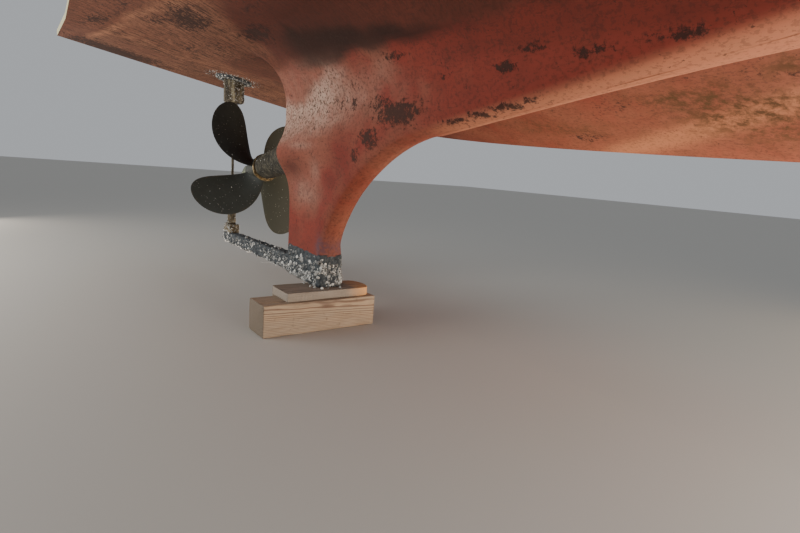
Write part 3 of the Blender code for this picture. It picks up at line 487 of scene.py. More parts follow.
def makeBladeBronze():
    # cast bronze under a dried black-brown film, scuffed, worn to bronze along its rim,
    # with white specks of small shells 13 mm apart
    finish, tree, shader, place = newFinish("slimedCastBronze", 0.62, 0, 0.3)
    colour, _, clouds = layOver(tree, place, linearColour("#1d2020"), [
        {"tint": "#383e3d", "cloud": (24, 8, 0.7), "cut": (0, 1, 0, 1)},
        {"tint": "#4a4b40", "mark": "olive"},
        {"tint": "#4c4b45", "cloud": (70, 6, 0.8), "cut": (0.56, 0.72, 0, 0.55)},
        {"tint": "#6b5638", "mark": "rim", "cloud": (70, 6, 0.8), "cut": (0.5, 0.7, 0, 0.6)}])
    dot = addNode(tree, "TexVoronoi", None, {"Vector": place, "Scale": 75})
    dotRound = addNode(tree, "MapRange", None, {
        "Value": dot.outputs["Distance"], "From Min": 0.06, "From Max": 0.12,
        "To Min": 1, "To Max": 0})
    dotFew = addNode(tree, "MapRange", None, {
        "Value": dot.outputs["Color"], "From Min": 0.48, "From Max": 0.52})
    dots = addNode(tree, "Math", {"operation": "MULTIPLY"}, {
        0: dotRound.outputs[0], 1: dotFew.outputs[0]}).outputs[0]
    colour = addNode(tree, "Mix", {"data_type": "RGBA"}, {
        0: dots, 6: colour, 7: linearColour("#cbc6ba")})
    gloss = addNode(tree, "MapRange", None, {
        "Value": clouds[0], "To Min": 0.45, "To Max": 0.8})
    tree.links.new(gloss.outputs[0], shader.inputs["Roughness"])
    closeFinish(tree, shader, colour.outputs[2], [
        (clouds[2], 0.5, 0.0012, False), (dots, 0.7, 0.0015, False)])
    return finish


def makeMetal(name, colours, roughness, metallic, scale, relief):
    # bare metal or rubber with a patchy film in a second tone, rougher than the rest
    finish, tree, shader, place = newFinish(name, roughness, metallic)
    colour, amounts, clouds = layOver(tree, place, linearColour(colours[0]), [
        {"tint": colours[1], "cloud": (scale, 7, 0.72), "cut": (0.42, 0.60, 0, 1)}])
    rough = addNode(tree, "MapRange", None, {
        "Value": amounts[0], "To Min": roughness, "To Max": min(roughness + 0.3, 1)})
    tree.links.new(rough.outputs[0], shader.inputs["Roughness"])
    closeFinish(tree, shader, colour, [(clouds[0], 0.5, relief, False)])
    return finish


wood = {
    "front": {"early": "#b59c80", "late": "#623e2f", "worn": "#a59a8b", "ring": 0.0060,
              "pith": (0.020, 0.118), "tilt": 0.050, "weather": (0.15, 0.6)},
    "rear": {"early": "#9a8468", "late": "#6f5845", "worn": "#857a6a", "ring": 0.0065,
             "pith": (-0.16, -0.05), "tilt": -0.03, "weather": (0.25, 0.75)},
    "plank": {"early": "#a19485", "late": "#6a5a4d", "worn": "#968d83", "ring": 0.005,
              "pith": (-0.03, 0.010), "tilt": 0.02, "weather": (0.45, 0.95)},
}


def makeWood(name, look):
    # sawn softwood: growth rings round a pith line along Y, so far apart in metres, greyed
    # by weather in streaks along the grain, with fibres, stains of 20 mm, grey end grain
    # where it is sawn across, and fresh wood where it has split
    finish, tree, shader, place = newFinish(name, 0.78, 0, 0.25)
    laid = addNode(tree, "Mapping", None, {
        "Vector": place, "Location": (-look["pith"][0], 0, -look["pith"][1]),
        "Rotation": (look["tilt"], 0, 0)})
    squeezed = addNode(tree, "Mapping", None, {
        "Vector": laid.outputs[0], "Scale": (1, 0.12, 1)})
    rings = addNode(tree, "TexWave", {"wave_type": "RINGS", "rings_direction": "Y"}, {
        "Vector": squeezed.outputs[0], "Scale": math.pi / (10 * look["ring"]),
        "Distortion": 2.6, "Detail": 3, "Detail Scale": 0.30, "Detail Roughness": 0.55})
    band = addNode(tree, "MapRange", None, {
        "Value": rings.outputs["Fac"], "From Min": 0.62, "From Max": 0.96, "To Max": 0.9})
    along, across = (addNode(tree, "Mix", {"data_type": "RGBA"}, {
        0: band.outputs[0], 6: linearColour(early), 7: linearColour(late)}).outputs[2]
        for early, late in ((look["early"], look["late"]), ("#776c5f", "#4d443a")))
    colour, _, clouds = layOver(tree, place, along, [
        {"tint": look["worn"], "cloud": (1, 6, 0.65), "cut": (0.38, 0.68, *look["weather"]),
         "drawn": (14, 2.2, 14)},
        {"tint": across, "mark": "end"},
        {"tint": "#7d6a58", "cloud": (1, 4, 0.6), "cut": (0.40, 0.75, 0, 0.45),
         "drawn": (300, 9, 300), "blend": "MULTIPLY"},
        {"tint": "#4d3c2e", "cloud": (26, 6, 0.7), "cut": (0.60, 0.74, 0, 0.5)},
        {"tint": "#dca368", "mark": "fresh"}])
    closeFinish(tree, shader, colour, [
        (rings.outputs["Fac"], 0.35, 0.0010, False), (clouds[2], 0.5, 0.0008, True)])
    return finish


rolledAntifouling = makePaint()
sawnLaminate = makeLaminateEdge()
resinMat = makeLaminateInside()
barnacleShell = makeShell()
slimedBronze = makeBladeBronze()
crustGrey = makeGrowth("driedGreyGrowth", ("#23272b", "#3a4045", "#5a5f62", "#96978f"), 45)
crustBrown = makeGrowth("driedBrownGrowth", ("#2a261d", "#5c5344", "#857b66", "#c0b8a2"), 40)
mossGreen = makeGrowth(
    "darkMossyFilm", ("#12110e", "#312f28", "#5b5748", "#a39d88"), 38, 0.85, 0.0016)
trunkFilm = makeGrowth(
    "streakedTrunkFilm", ("#100e0a", "#50483a", "#a39d84", "#d4ccb6"), 32, 0.80, 0.0018,
    (1, 1, 0.15))
rudderSlime = makeGrowth(
    "streakedRudderSlime", ("#2b281f", "#504b3e", "#787160", "#b0a890"), 30, 0.88, 0.0012,
    (1, 1, 0.22))
verdigris = makeMetal("verdigrisBronze", ("#7d8470", "#4a4a3c"), 0.5, 0.35, 60, 0.0008)
scrapedBronze = makeMetal("scrapedBronze", ("#a18c63", "#4a3f2e"), 0.45, 0.40, 55, 0.0010)
turnedSteel = makeMetal("turnedStainless", ("#a8a49c", "#6f675b"), 0.28, 0.95, 30, 0.0002)
bearingRubber = makeMetal("mouldedRubber", ("#232322", "#3a3733"), 0.75, 0, 50, 0.0003)
print("materials made")


# hull bottom and skeg: one skin

hull = {
    "height": 1.220,         # underside over the rudder
    "fall": 0.020,           # drop per metre forward
    "deadrise": 0.150,       # drop per metre to port at the rudder
    "growth": 0.270,         # how much more it becomes forward and outboard
    "growthFrom": -1.257,
    "growthLength": 0.850,
    "growthStart": 0.125,
    "growthEase": 0.100,
    "thickness": 0.030,
    "aft": -1.850,
    "front": 1.800,
    "halfWidth": 0.895,
    "flare": 0.260,          # fillet radius at the sides of the skeg
    "flareLoss": 0.060,      # how much smaller it is by the trailing edge
    "flareReach": 0.300,     # over this length
    "aftFlare": 0.120,       # fillet radius behind it
    "split": 0.100,          # depth where the fillet meets the skeg's side
    "tiltFade": 0.150,
    "rudderX": -1.362,
    "topStep": 0.100,        # distance between points on the inner face
}
shoe = {
    "low": 0.1786, "top": 0.3236, "front": -0.014, "aft": -0.385,
    "frontHalf": 0.061, "aftHalf": 0.045, "corner": 0.020,
    "lip": 0.003,            # how far it stands up round the skeg
    "crust": 0.0038, "cell": 0.016, "shells": 700, "radius": (0.0030, 0.0130),
    # shells that dropped on the plank beside it: place and radius
    "fallen": ((-0.02, -0.074, 0.007), (0.006, -0.050, 0.008), (-0.05, -0.080, 0.006),
               (0.010, -0.020, 0.005), (-0.12, -0.078, 0.006), (0.012, 0.040, 0.007)),
}
skeg = {
    "halfWidth": 0.059, "aftHalfWidth": 0.044, "taper": 0.360,
    "inset": 0.0015,         # how far its foot lies inside the shoe
    "footFade": 0.070,
    # its nose is drawn in over this depth, to this share, with a small radius
    "nose": 0.075, "blunt": 0.35, "roundNose": 0.016,
    # the leading line: a curve of this length, rise and power, then the keel
    "arcLength": 0.665, "arcRise": 0.526, "arcShape": 1.24, "keelDepth": 0.113,
    # the trailing edge leans aft between two shares of its height
    "lean": 0.085, "leanStart": 0.15, "leanEnd": 0.85, "edge": 0.008, "edgeShape": 0.6,
    # swelling for the shaft: half width, how fast it fades forward, and its spread
    "boss": 0.104, "bossFade": 0.420, "bossSpread": 0.095,
    "unevenness": 0.0010,
}
shaft = {"x": -0.914, "z": 0.675, "rake": math.radians(10.5), "radius": 0.0255}


def underside(x):
    return hull["height"] - hull["fall"] * (x - hull["rudderX"])


def extraDrop(x, y):
    # growth times 1 - e^(-distance / length), eased in beside the skeg by w^2 / (w + ease)
    ahead = np.clip(x - hull["growthFrom"], 0, None)
    growth = hull["growth"] * (1 - np.exp(-ahead / hull["growthLength"]))
    over = np.clip(np.abs(y) - hull["growthStart"], 0, None)
    return np.sign(y) * growth * over ** 2 / (over + hull["growthEase"])


def hullPlane(x, y):
    return underside(x) - hull["deadrise"] * y - extraDrop(x, y)


def flareOut(depth, radius):
    # the fillet is a quarter circle: radius minus the root of radius^2 - (radius - depth)^2
    rest = np.clip(radius - depth, 0, radius)
    return radius - np.sqrt(radius ** 2 - rest ** 2)


def sideFlare(x):
    # the side fillet's radius, smaller towards the trailing edge along an S curve
    ahead = x - (shoe["aft"] - skeg["lean"])
    return hull["flare"] - hull["flareLoss"] * softStep(hull["flareReach"], 0.0, ahead)


def trailingEdge(z):
    # straight up from the shoe, then leaning aft along an S curve of the height
    share = (z - shoe["top"]) / (underside(shoe["aft"]) - shoe["top"])
    return shoe["aft"] - skeg["lean"] * softStep(skeg["leanStart"], skeg["leanEnd"], share)


def leadingLine(count=700):
    # a quarter superellipse from the shoe to the keel, then the straight keel
    turn = np.linspace(0, math.pi / 2, count)
    power = skeg["arcShape"]
    x = shoe["front"] + skeg["arcLength"] * (1 - np.cos(turn) ** power)
    z = shoe["top"] + skeg["arcRise"] * np.sin(turn) ** power
    keelX = np.linspace(x[-1], hull["front"], count)[1:]
    keelEnd = underside(hull["front"]) - skeg["keelDepth"]
    keelZ = z[-1] + (keelEnd - z[-1]) * (keelX - x[-1]) / (hull["front"] - x[-1])
    x = np.concatenate([[shoe["front"]], x, keelX])
    z = np.concatenate([[shoe["top"] - 0.02], z, keelZ])
    far = np.concatenate([[0], np.cumsum(np.hypot(np.diff(x), np.diff(z)))])
    return x, z, far, far[count // 2 + 1]


def plainHalfWidth(x, z, lineX, lineZ):
    # slab plus shaft bossing, drawn in to a rounded nose near the leading line
    away = np.full(x.shape, np.inf)
    for part in range(0, len(lineX), 200):
        gap = np.hypot(x[..., None] - lineX[part:part + 200],
                       z[..., None] - lineZ[part:part + 200])
        away = np.minimum(away, gap.min(axis=-1))
    nose = np.sqrt(1 - np.clip(1 - away / skeg["nose"], 0, 1) ** 3)
    taper = np.clip((shoe["aft"] + skeg["taper"] - x) / skeg["taper"], 0, 1)
    width = between(skeg["halfWidth"], skeg["aftHalfWidth"], taper)
    shaftZ = shaft["z"] + (x - shaft["x"]) * math.tan(shaft["rake"])
    boss = (skeg["boss"] - width) * np.exp(
        -np.clip(x - shoe["aft"], 0, None) / skeg["bossFade"])
    boss = boss * np.exp(-(((z - shaftZ) / skeg["bossSpread"]) ** 2))
    half = (width + boss) * (skeg["blunt"] + (1 - skeg["blunt"]) * nose)
    # near the foot the sides meet the shoe's plan, a taper with round front corners
    corner = shoe["corner"]
    into = np.clip(x - shoe["front"] + corner, 0, corner)
    length = shoe["front"] - shoe["aft"] - corner
    plan = between(shoe["aftHalf"], shoe["frontHalf"], np.clip((x - shoe["aft"]) / length, 0, 1))
    plan = plan - corner + np.sqrt(np.clip(corner ** 2 - into ** 2, 0, None)) - skeg["inset"]
    half = between(half, plan, softStep(skeg["footFade"], 0.0, z - shoe["top"]))
    tip = np.clip(away / skeg["roundNose"], 0, 1)
    return half, np.sqrt(1 - (1 - tip) ** 2)


def tiltedDown(x, y, depth):
    below = np.clip(depth - hull["split"], 0, None)
    return -hull["deadrise"] * y * np.exp(-below / hull["tiltFade"]) - extraDrop(x, y)


def skegSheets(side):
    # lines run from the leading line to the trailing edge below, and to the hull above
    lineX, lineZ, far, keelAt = leadingLine()
    steps = np.linspace(0, 1, 64) ** 1.8
    edge, turnRows, faceRows, highRows = skeg["edge"], 15, 5, 100
    topZ = underside(shoe["aft"] - skeg["lean"]) - hull["split"]
    # a quarter turn on a superellipse: powers of sine and cosine below 1 keep the crease
    turn = np.linspace(0, math.pi / 2, turnRows)
    across, along = np.sin(turn) ** skeg["edgeShape"], np.cos(turn) ** skeg["edgeShape"]

    def sideRows(away, endX, endZ):
        # straight lines from places on the leading line to an end line
        x, z = (between(np.interp(away, far, line)[:, None], end[:, None], steps)
                for line, end in ((lineX, endX), (lineZ, endZ)))
        half, tip = plainHalfWidth(x, z, lineX, lineZ)
        y = (half + flareOut(underside(x) - z, sideFlare(x))) * tip
        y[:, 0] = 0
        return x, y, z, half

    endZ = np.linspace(lineZ[0], topZ, 64)
    endX = trailingEdge(endZ) + edge
    x, y, z, half = sideRows(keelAt * np.linspace(0, 1, len(endZ)), endX, endZ)
    # round the trailing edge and across the aft face
    aftHalf = half[:, -1:]
    aftOut = flareOut(underside(endX) - endZ, hull["aftFlare"])[:, None]
    sideOut = flareOut(underside(endX) - endZ, sideFlare(endX))[:, None]
    turnX = endX[:, None] - (edge + aftOut) * across[1:]
    turnY = aftHalf - edge + (edge + sideOut) * along[1:]
    faceY = (aftHalf - edge) * (1 - np.linspace(0, 1, faceRows + 1)[1:])
    faceX = np.repeat(turnX[:, -1:], faceRows, axis=1)
    lower = np.stack([
        np.concatenate([x, turnX, faceX], axis=1),
        np.concatenate([y, turnY, faceY], axis=1),
        np.concatenate([z, np.repeat(endZ[:, None], turnRows - 1 + faceRows, axis=1)], axis=1),
    ], axis=-1)

    share = np.linspace(0, 1, highRows)
    endX = between(endX[-1], hull["front"], share)
    endZ = underside(endX) - hull["split"]
    endZ[0] = topZ
    *upper, half = sideRows(between(keelAt, far[-1], share), endX, endZ)

    # the hull beyond: fillet rows by angle, then flat rows out to the cut edges
    cornerY = aftHalf[-1, 0] - edge
    stripX = np.concatenate([endX[::-1], np.full(turnRows - 1 + faceRows, endX[0])])
    stripY = np.concatenate([half[::-1, -1], np.full(turnRows - 1, half[0, -1]),
                             faceY[-1] + edge]) - edge
    aftShare = np.concatenate([np.zeros(highRows), across[1:], np.ones(faceRows)])
    sideShare = np.concatenate([np.ones(highRows), along[1:], np.zeros(faceRows)])
    rows = []
    for angle in np.linspace(math.asin(1 - hull["split"] / hull["flare"]), math.pi / 2, 15):
        depth = hull["flare"] * (1 - np.sin(angle))
        x = stripX - (edge + flareOut(depth, hull["aftFlare"])) * aftShare
        y = stripY + (edge + flareOut(depth, sideFlare(stripX))) * sideShare
        rows.append(np.stack([x, y, underside(x) - depth], axis=-1))
    last = rows[-1]
    aftWay = np.clip(turn[1:] / (math.pi / 4), 0, 1)
    inWay = np.clip(turn[1:] / (math.pi / 4) - 1, 0, 1)
    edgeX = np.concatenate([endX[::-1], between(endX[0], hull["aft"], aftWay),
                            np.full(faceRows, hull["aft"])])
    edgeY = np.concatenate([np.full(highRows, hull["halfWidth"]),
                            between(hull["halfWidth"], cornerY, inWay), faceY[-1]])
    for share in np.linspace(0, 1, 17)[1:] ** 1.2:
        x, y = between(last[:, 0], edgeX, share), between(last[:, 1], edgeY, share)
        rows.append(np.stack([x, y, underside(x)], axis=-1))
    sheets = [lower, np.stack(upper, axis=-1), np.array(rows)]
    for sheet in sheets:
        sheet[..., 1] *= side
        depth = underside(sheet[..., 0]) - sheet[..., 2]
        sheet[..., 2] += tiltedDown(sheet[..., 0], sheet[..., 1], depth)
    return sheets


def upperFace(path):
    # triangles inside the cut's outline, with points at even steps between
    step, half = hull["topStep"], hull["halfWidth"]
    x = np.arange(hull["aft"] + step / 2, hull["front"] - 0.02, step)
    y = np.arange(step / 2 - half, half - 0.02, step)
    inner = np.stack(np.meshgrid(x, y, indexing="ij"), -1).reshape(-1, 2)
    flat = np.concatenate([path[:, :2], inner])
    found = delaunay_2d_cdt([Vector(spot) for spot in flat.tolist()], [],
                            [list(range(len(path)))], 1, 1e-6)
    spots = np.array([tuple(spot) for spot in found[0]])
    height = hullPlane(spots[:, 0], spots[:, 1]) + hull["thickness"]
    return np.column_stack([spots, height]), [list(face) for face in found[2]]


def makeHullAndSkeg():
    # both sides' sheets, the cut edges raised to the inner face, that face and the foot
    points, faces, start, feet, rim = [], [], 0, [], []
    for side in (-1, 1):
        sheets = skegSheets(side)
        for sheet in sheets:
            index = np.arange(sheet[..., 0].size).reshape(sheet.shape[:2]) + start
            quads = np.stack([index[:-1, :-1], index[:-1, 1:], index[1:, 1:], index[1:, :-1]],
                             -1)
            faces += quads.reshape(-1, 4).tolist()
            points.append(sheet.reshape(-1, 3))
            start += index.size
        lower, upper, outer = sheets
        feet.append(lower[0])
        path = np.concatenate([upper[-1], outer[1:, 0], outer[-1, 1:]])
        rim.append(path[::-side])
    path = np.concatenate([rim[0], rim[1][1:-1]])
    top = path.copy()
    top[:, 2] = hullPlane(path[:, 0], path[:, 1]) + hull["thickness"]
    count = len(path)
    index = np.arange(count) + start
    after = np.roll(index, -1)
    cutQuads = np.stack([index, index + count, after + count, after], -1).tolist()
    inner, innerFaces = upperFace(path)
    innerFaces = [[corner + start + 2 * count for corner in face] for face in innerFaces]
    footLoop = np.concatenate([feet[0], feet[1][-2:0:-1]])
    footFace = [(np.arange(len(footLoop)) + start + 2 * count + len(inner)).tolist()]
    mesh = bpy.data.meshes.new("hullAndSkeg")
    mesh.from_pydata(np.concatenate([*points, path, top, inner, footLoop]).tolist(), [],
                     faces + cutQuads + innerFaces + footFace)
    mesh.polygons.foreach_set("material_index", [0] * len(faces) + [1] * len(cutQuads)
                              + [2] * len(innerFaces) + [0])
    shape = bmesh.new()
    shape.from_mesh(mesh)
    bmesh.ops.remove_doubles(shape, verts=shape.verts, dist=0.00002)
    bmesh.ops.dissolve_degenerate(shape, edges=shape.edges, dist=0.000005)
    bmesh.ops.recalc_face_normals(shape, faces=shape.faces)
    shape.to_mesh(mesh)
    shape.free()
    # hand-laid unevenness along the normals, fading out at the cuts
    spot, normal = np.zeros((2, len(mesh.vertices) * 3))
    mesh.vertices.foreach_get("co", spot)
    mesh.vertices.foreach_get("normal", normal)
    spot, normal = spot.reshape(-1, 3), normal.reshape(-1, 3)
    inside = np.minimum(hull["front"] - spot[:, 0], spot[:, 0] - hull["aft"])
    inside = np.minimum(inside, hull["halfWidth"] - np.abs(spot[:, 1]))
    plane = hullPlane(spot[:, 0], spot[:, 1])
    fade = softStep(0.0, 0.06, inside) * (spot[:, 2] < plane + 0.01)
    wave = cloudy(spot, 0.16, 3) + 0.4 * cloudy(spot, 0.05, 8)
    spot = spot + normal * (wave * fade * skeg["unevenness"])[:, None]
    mesh.vertices.foreach_set("co", spot.ravel())
    dressPiece("hullAndSkeg", mesh, [rolledAntifouling, sawnLaminate, resinMat], "structure",
               42, ("hull_bottom", "skeg"), paintMarks(spot, plane - spot[:, 2]))


# painted places: centre x and z on the skeg, or x and y on the hull, half sizes, strength
paintSpots = {
    # two lighter chalk patches on the mid skeg, then chalk and a painted highlight along the
    # ridge over the shaft boss
    "chalk": [
        (-0.20, 0.600, 0.14, 0.060, 0.34), (-0.10, 0.690, 0.05, 0.060, 0.24),
        (-0.22, 0.812, 0.12, 0.020, 0.42)],
    # painted shade under the shaft boss, beside the leading edge and low on the skeg
    "shade": [
        (-0.31, 0.705, 0.09, 0.045, 0.55), (0.12, 0.740, 0.09, 0.120, 0.24),
        (-0.30, 0.380, 0.08, 0.060, 0.20), (0.05, 0.660, 0.06, 0.040, 0.34)],
    # the redder, darker band by the leading edge, partly painted shade
    "redCoatAndShade": [(0.15, 0.76, 0.10, 0.13, 1.0), (0.05, 0.66, 0.07, 0.06, 1.0)],
    "stain": [(-0.030, 0.365, 0.035, 0.050, 1.0)],
    "skegGrowth": [
        (0.50, 0.925, 0.165, 0.055, 1.00), (0.40, 0.962, 0.120, 0.032, 0.78),
        (0.33, 0.838, 0.075, 0.050, 0.96), (0.231, 0.772, 0.036, 0.032, 1.00),
        (0.10, 0.985, 0.110, 0.060, 0.50), (0.223, 0.966, 0.036, 0.032, 0.80),
        (0.53, 1.100, 0.090, 0.018, 0.88), (1.00, 1.020, 0.060, 0.016, 0.92),
        (0.76, 1.020, 0.040, 0.014, 0.80), (0.78, 0.890, 0.070, 0.013, 0.90),
        (0.88, 0.906, 0.070, 0.013, 0.90), (0.98, 0.923, 0.070, 0.012, 0.88),
        (1.07, 0.938, 0.060, 0.012, 0.78), (1.25, 1.020, 0.085, 0.018, 0.80),
        (1.10, 1.050, 0.065, 0.016, 0.74), (1.46, 1.030, 0.070, 0.018, 0.80),
        (0.25, 1.040, 0.160, 0.040, 0.42), (-0.30, 0.420, 0.050, 0.060, 0.44)],
    "hullGrowth": [
        (-0.55, -0.49, 0.24, 0.11, 0.94), (-0.26, -0.28, 0.18, 0.07, 0.92),
        (-1.74, -0.62, 0.20, 0.36, 1.10), (-1.12, -0.78, 0.12, 0.06, 0.92),
        (-1.00, -0.36, 0.20, 0.09, 0.62), (-1.28, -0.34, 0.07, 0.04, 0.80),
        (-0.75, -0.25, 0.22, 0.20, 0.46), (-0.80, -0.72, 0.20, 0.06, 0.66),
        (-1.62, 0.30, 0.12, 0.50, 0.50), (-0.58, -0.12, 0.10, 0.10, 0.50),
        (0.70, 0.78, 0.12, 0.04, 0.72), (1.60, 0.42, 0.30, 0.020, 0.80),
        (0.95, 0.55, 0.16, 0.03, 0.60), (-0.05, -0.40, 0.20, 0.06, 0.55)],
    "olive": [
        (1.39, 0.60, 0.24, 0.14, 1.00), (1.18, 0.53, 0.14, 0.05, 0.85),
        (1.62, 0.37, 0.22, 0.05, 0.90), (0.62, 0.70, 0.30, 0.05, 0.45)],
}


def ovals(first, second, name):
    # the strongest of some soft ovals: strength times e^-(distance / half size)^2
    total = np.zeros(len(first))
    for centreA, centreB, halfA, halfB, strong in paintSpots[name]:
        gap = ((first - centreA) / halfA) ** 2 + ((second - centreB) / halfB) ** 2
        total = np.maximum(total, strong * np.exp(-gap))
    return total


def paintMarks(spot, depth):
    # where the coat is chalked, fouled, redder or dull, and where shade and highlights are
    # painted, from place and depth below the hull: bands are S curves across a line, made ragged
    # by noise, and spots are ovals
    x, y, z = spot.T
    flat = spot * np.array([1.0, 0.4, 1.0])
    ragged = cloudy(flat, 0.11, 21, 3)
    lineX, lineZ, _, _ = leadingLine(240)
    away = np.min(np.hypot(x[:, None] - lineX, z[:, None] - lineZ), axis=1)
    onSkeg = softStep(0.02, 0.08, depth)
    # chalk: from the trailing edge forward, down to the ridge over the shaft
    ridge = 0.815 + 0.12 * (x + 0.40)
    chalk = softStep(-0.030, 0.055, z - ridge + 0.02 * ragged) * softStep(0.045, 0.085, depth)
    start = 0.132 - 0.30 * np.clip(x, -0.25, 0.06) + 0.02 * ragged
    chalk = chalk * (0.14 + 0.86 * softStep(-0.035, 0.030, depth - start))
    chalk = chalk * (0.14 + 0.86 * softStep(0.34, -0.16, x + 0.10 * ragged))
    chalk = chalk * softStep(0.62, 0.42, x + 0.10 * ragged) * softStep(-0.62, -0.5, x)
    # a lighter line along the ridge over the shaft: chalk and a painted highlight
    ridgeChalkAndHighlight = 0.42 * np.exp(-((z - ridge) / 0.012) ** 2) * (depth > 0.1)
    ridgeChalkAndHighlight = ridgeChalkAndHighlight * softStep(0.10, -0.05, x) * softStep(-0.6, -0.45, x)
    chalk = np.maximum(chalk, ridgeChalkAndHighlight) * (0.66 + 0.34 * softStep(0.03, 0.15, z - ridge))
    chalk = np.maximum(chalk, ovals(x, z, "chalk") * softStep(0.10, 0.2, depth))
    # redder: a band inside the leading line, darker where the side turns into the nose as
    # painted shade, the low part, and forward
    redCoatAndShade = 0.75 * np.exp(-((away - 0.085) / 0.045) ** 2) * softStep(1.0, 0.8, z)
    lowPart = softStep(0.58, 0.44, z + 0.05 * ragged) * softStep(0.015, 0.05, away)
    redCoatAndShade = np.maximum(np.maximum(redCoatAndShade, 0.85 * lowPart), ovals(x, z, "redCoatAndShade"))
    redCoatAndShade = np.maximum(redCoatAndShade, 0.9 * softStep(0.30, 0.70, x + 0.15 * ragged)) * onSkeg
    redCoatAndShade = redCoatAndShade + 0.35 * softStep(0.2, 0.9, ragged)
    # dull hull beyond the fillet, partly dirt and partly painted shade, left out on the part to
    # port
    dullAndShaded = softStep(0.075, 0.040, depth + 0.012 * ragged)
    dullAndShaded = dullAndShaded * (1 - softStep(0.02, 0.12, y) * softStep(-0.6, 0.0, x))
    outward = np.clip(-y - 0.3, 0, 0.4)
    aft = dullAndShaded * softStep(-0.25, -0.50, x + 0.08 * ragged - outward) * (0.80 + 0.25 * ragged)
    aft = aft * (1 - 0.7 * softStep(-0.24, -0.12, y) * softStep(-1.15, -0.9, x))
    # a dark band along the upper part of the fillet, and a thin film over the hull by it: partly
    # dirt, partly painted shade
    deep = depth + 0.010 * ragged
    high = 0.012 + 0.058 * np.clip(x, 0, None)
    low = 0.088 + 0.016 * softStep(0.40, 0.15, x)
    filmAndPaintedShade = softStep(low, low - 0.026, deep) * softStep(high - 0.022, high + 0.008, deep)
    filmAndPaintedShade = 0.88 * filmAndPaintedShade * softStep(1.25, 0.60, x) * softStep(-0.34, 0.02, x)
    filmAndPaintedShade = np.clip(filmAndPaintedShade * (1 + 0.10 * ragged), 0, 1)
    film = 0.42 * np.exp(-(((x - 0.15) / 0.45) ** 2)) * softStep(0.090, 0.060, depth)
    film = np.maximum(film, 0.24 * softStep(0.6, 0.9, x) * softStep(0.150, 0.110, depth))
    filmAndPaintedShade = np.maximum(filmAndPaintedShade, film * softStep(-0.50, -0.20, y + 0.08 * ragged)) * (y < 0.1)
    # painted shade under the shaft boss and beside the leading edge, from the shade ovals
    filmAndPaintedShade = np.maximum(filmAndPaintedShade, ovals(x, z, "shade") * onSkeg)
    # bare along the keel, worn and partly a painted warm highlight, and on a thin rubbed line
    # with a redder coat outboard of it
    bare = 0.55 * softStep(0.040, 0.005, away) * softStep(0.55, 0.80, x)
    fromLine = y + 0.57 - 0.17 * (x + 0.40)
    rubbed = np.exp(-(fromLine / 0.013) ** 2) * (depth < 0.02)
    rubbed = rubbed * softStep(-0.15, -0.40, x) * softStep(-1.65, -1.45, x)
    bare = np.maximum(bare, 0.90 * rubbed)
    aft = aft * (1 - 0.55 * softStep(0.02, -0.02, fromLine))
    # growth in its spots, and thinly over the dull hull
    foul = ovals(x, z, "skegGrowth") * onSkeg
    foul = np.maximum(foul, ovals(x, y, "hullGrowth") * softStep(0.06, 0.02, depth))
    foul = np.maximum(foul, 0.30 * dullAndShaded * softStep(0.0, 0.9, cloudy(flat, 0.20, 33, 3)))
    fine = softStep(0.2, 0.8, cloudy(flat, 0.06, 37, 3)) * softStep(0.0, -0.5, x)
    foul = np.maximum(foul, 0.66 * dullAndShaded * fine)
    olive = np.clip(1.6 * ovals(x + 0.04 * ragged, y + 0.05 * ragged, "olive"), 0, 1)
    return {"chalk": chalk, "foul": foul, "redCoatAndShade": redCoatAndShade, "hull": dullAndShaded, "aft": aft,
            "filmAndPaintedShade": filmAndPaintedShade, "bare": bare, "stain": ovals(x, z, "stain"),
            "olive": olive * softStep(0.10, 0.05, depth),
            # shares worked out for the streaks, the pits and the dark spots
            "across": aft + 0.30 * dullAndShaded, "pits": 0.30 + 0.52 * chalk, "spots": 0.16 * chalk}


makeHullAndSkeg()
print("hull and skeg made")


# shoe, heel bar and heel block under their crust

bar = {
    "frontLow": 0.1826, "aftLow": 0.188, "frontTop": 0.2626, "aftTop": 0.244,
    "halfWidth": 0.027, "round": 0.35,
    "into": 0.004,           # how far it runs into the shoe
    "reach": 0.070,          # how far it runs past the rudder's axis
    "crust": 0.0062, "cell": 0.022, "shells": 800, "radius": (0.0026, 0.0095),
}
# a shred of old coating that peels off below the bar
shred = {"x": -0.60, "length": 0.19, "z": 0.178, "drop": 0.024, "halfWidth": 0.009}
heel = {"corner": 0.012, "crust": 0.0045, "shells": 170, "radius": (0.0025, 0.006)}


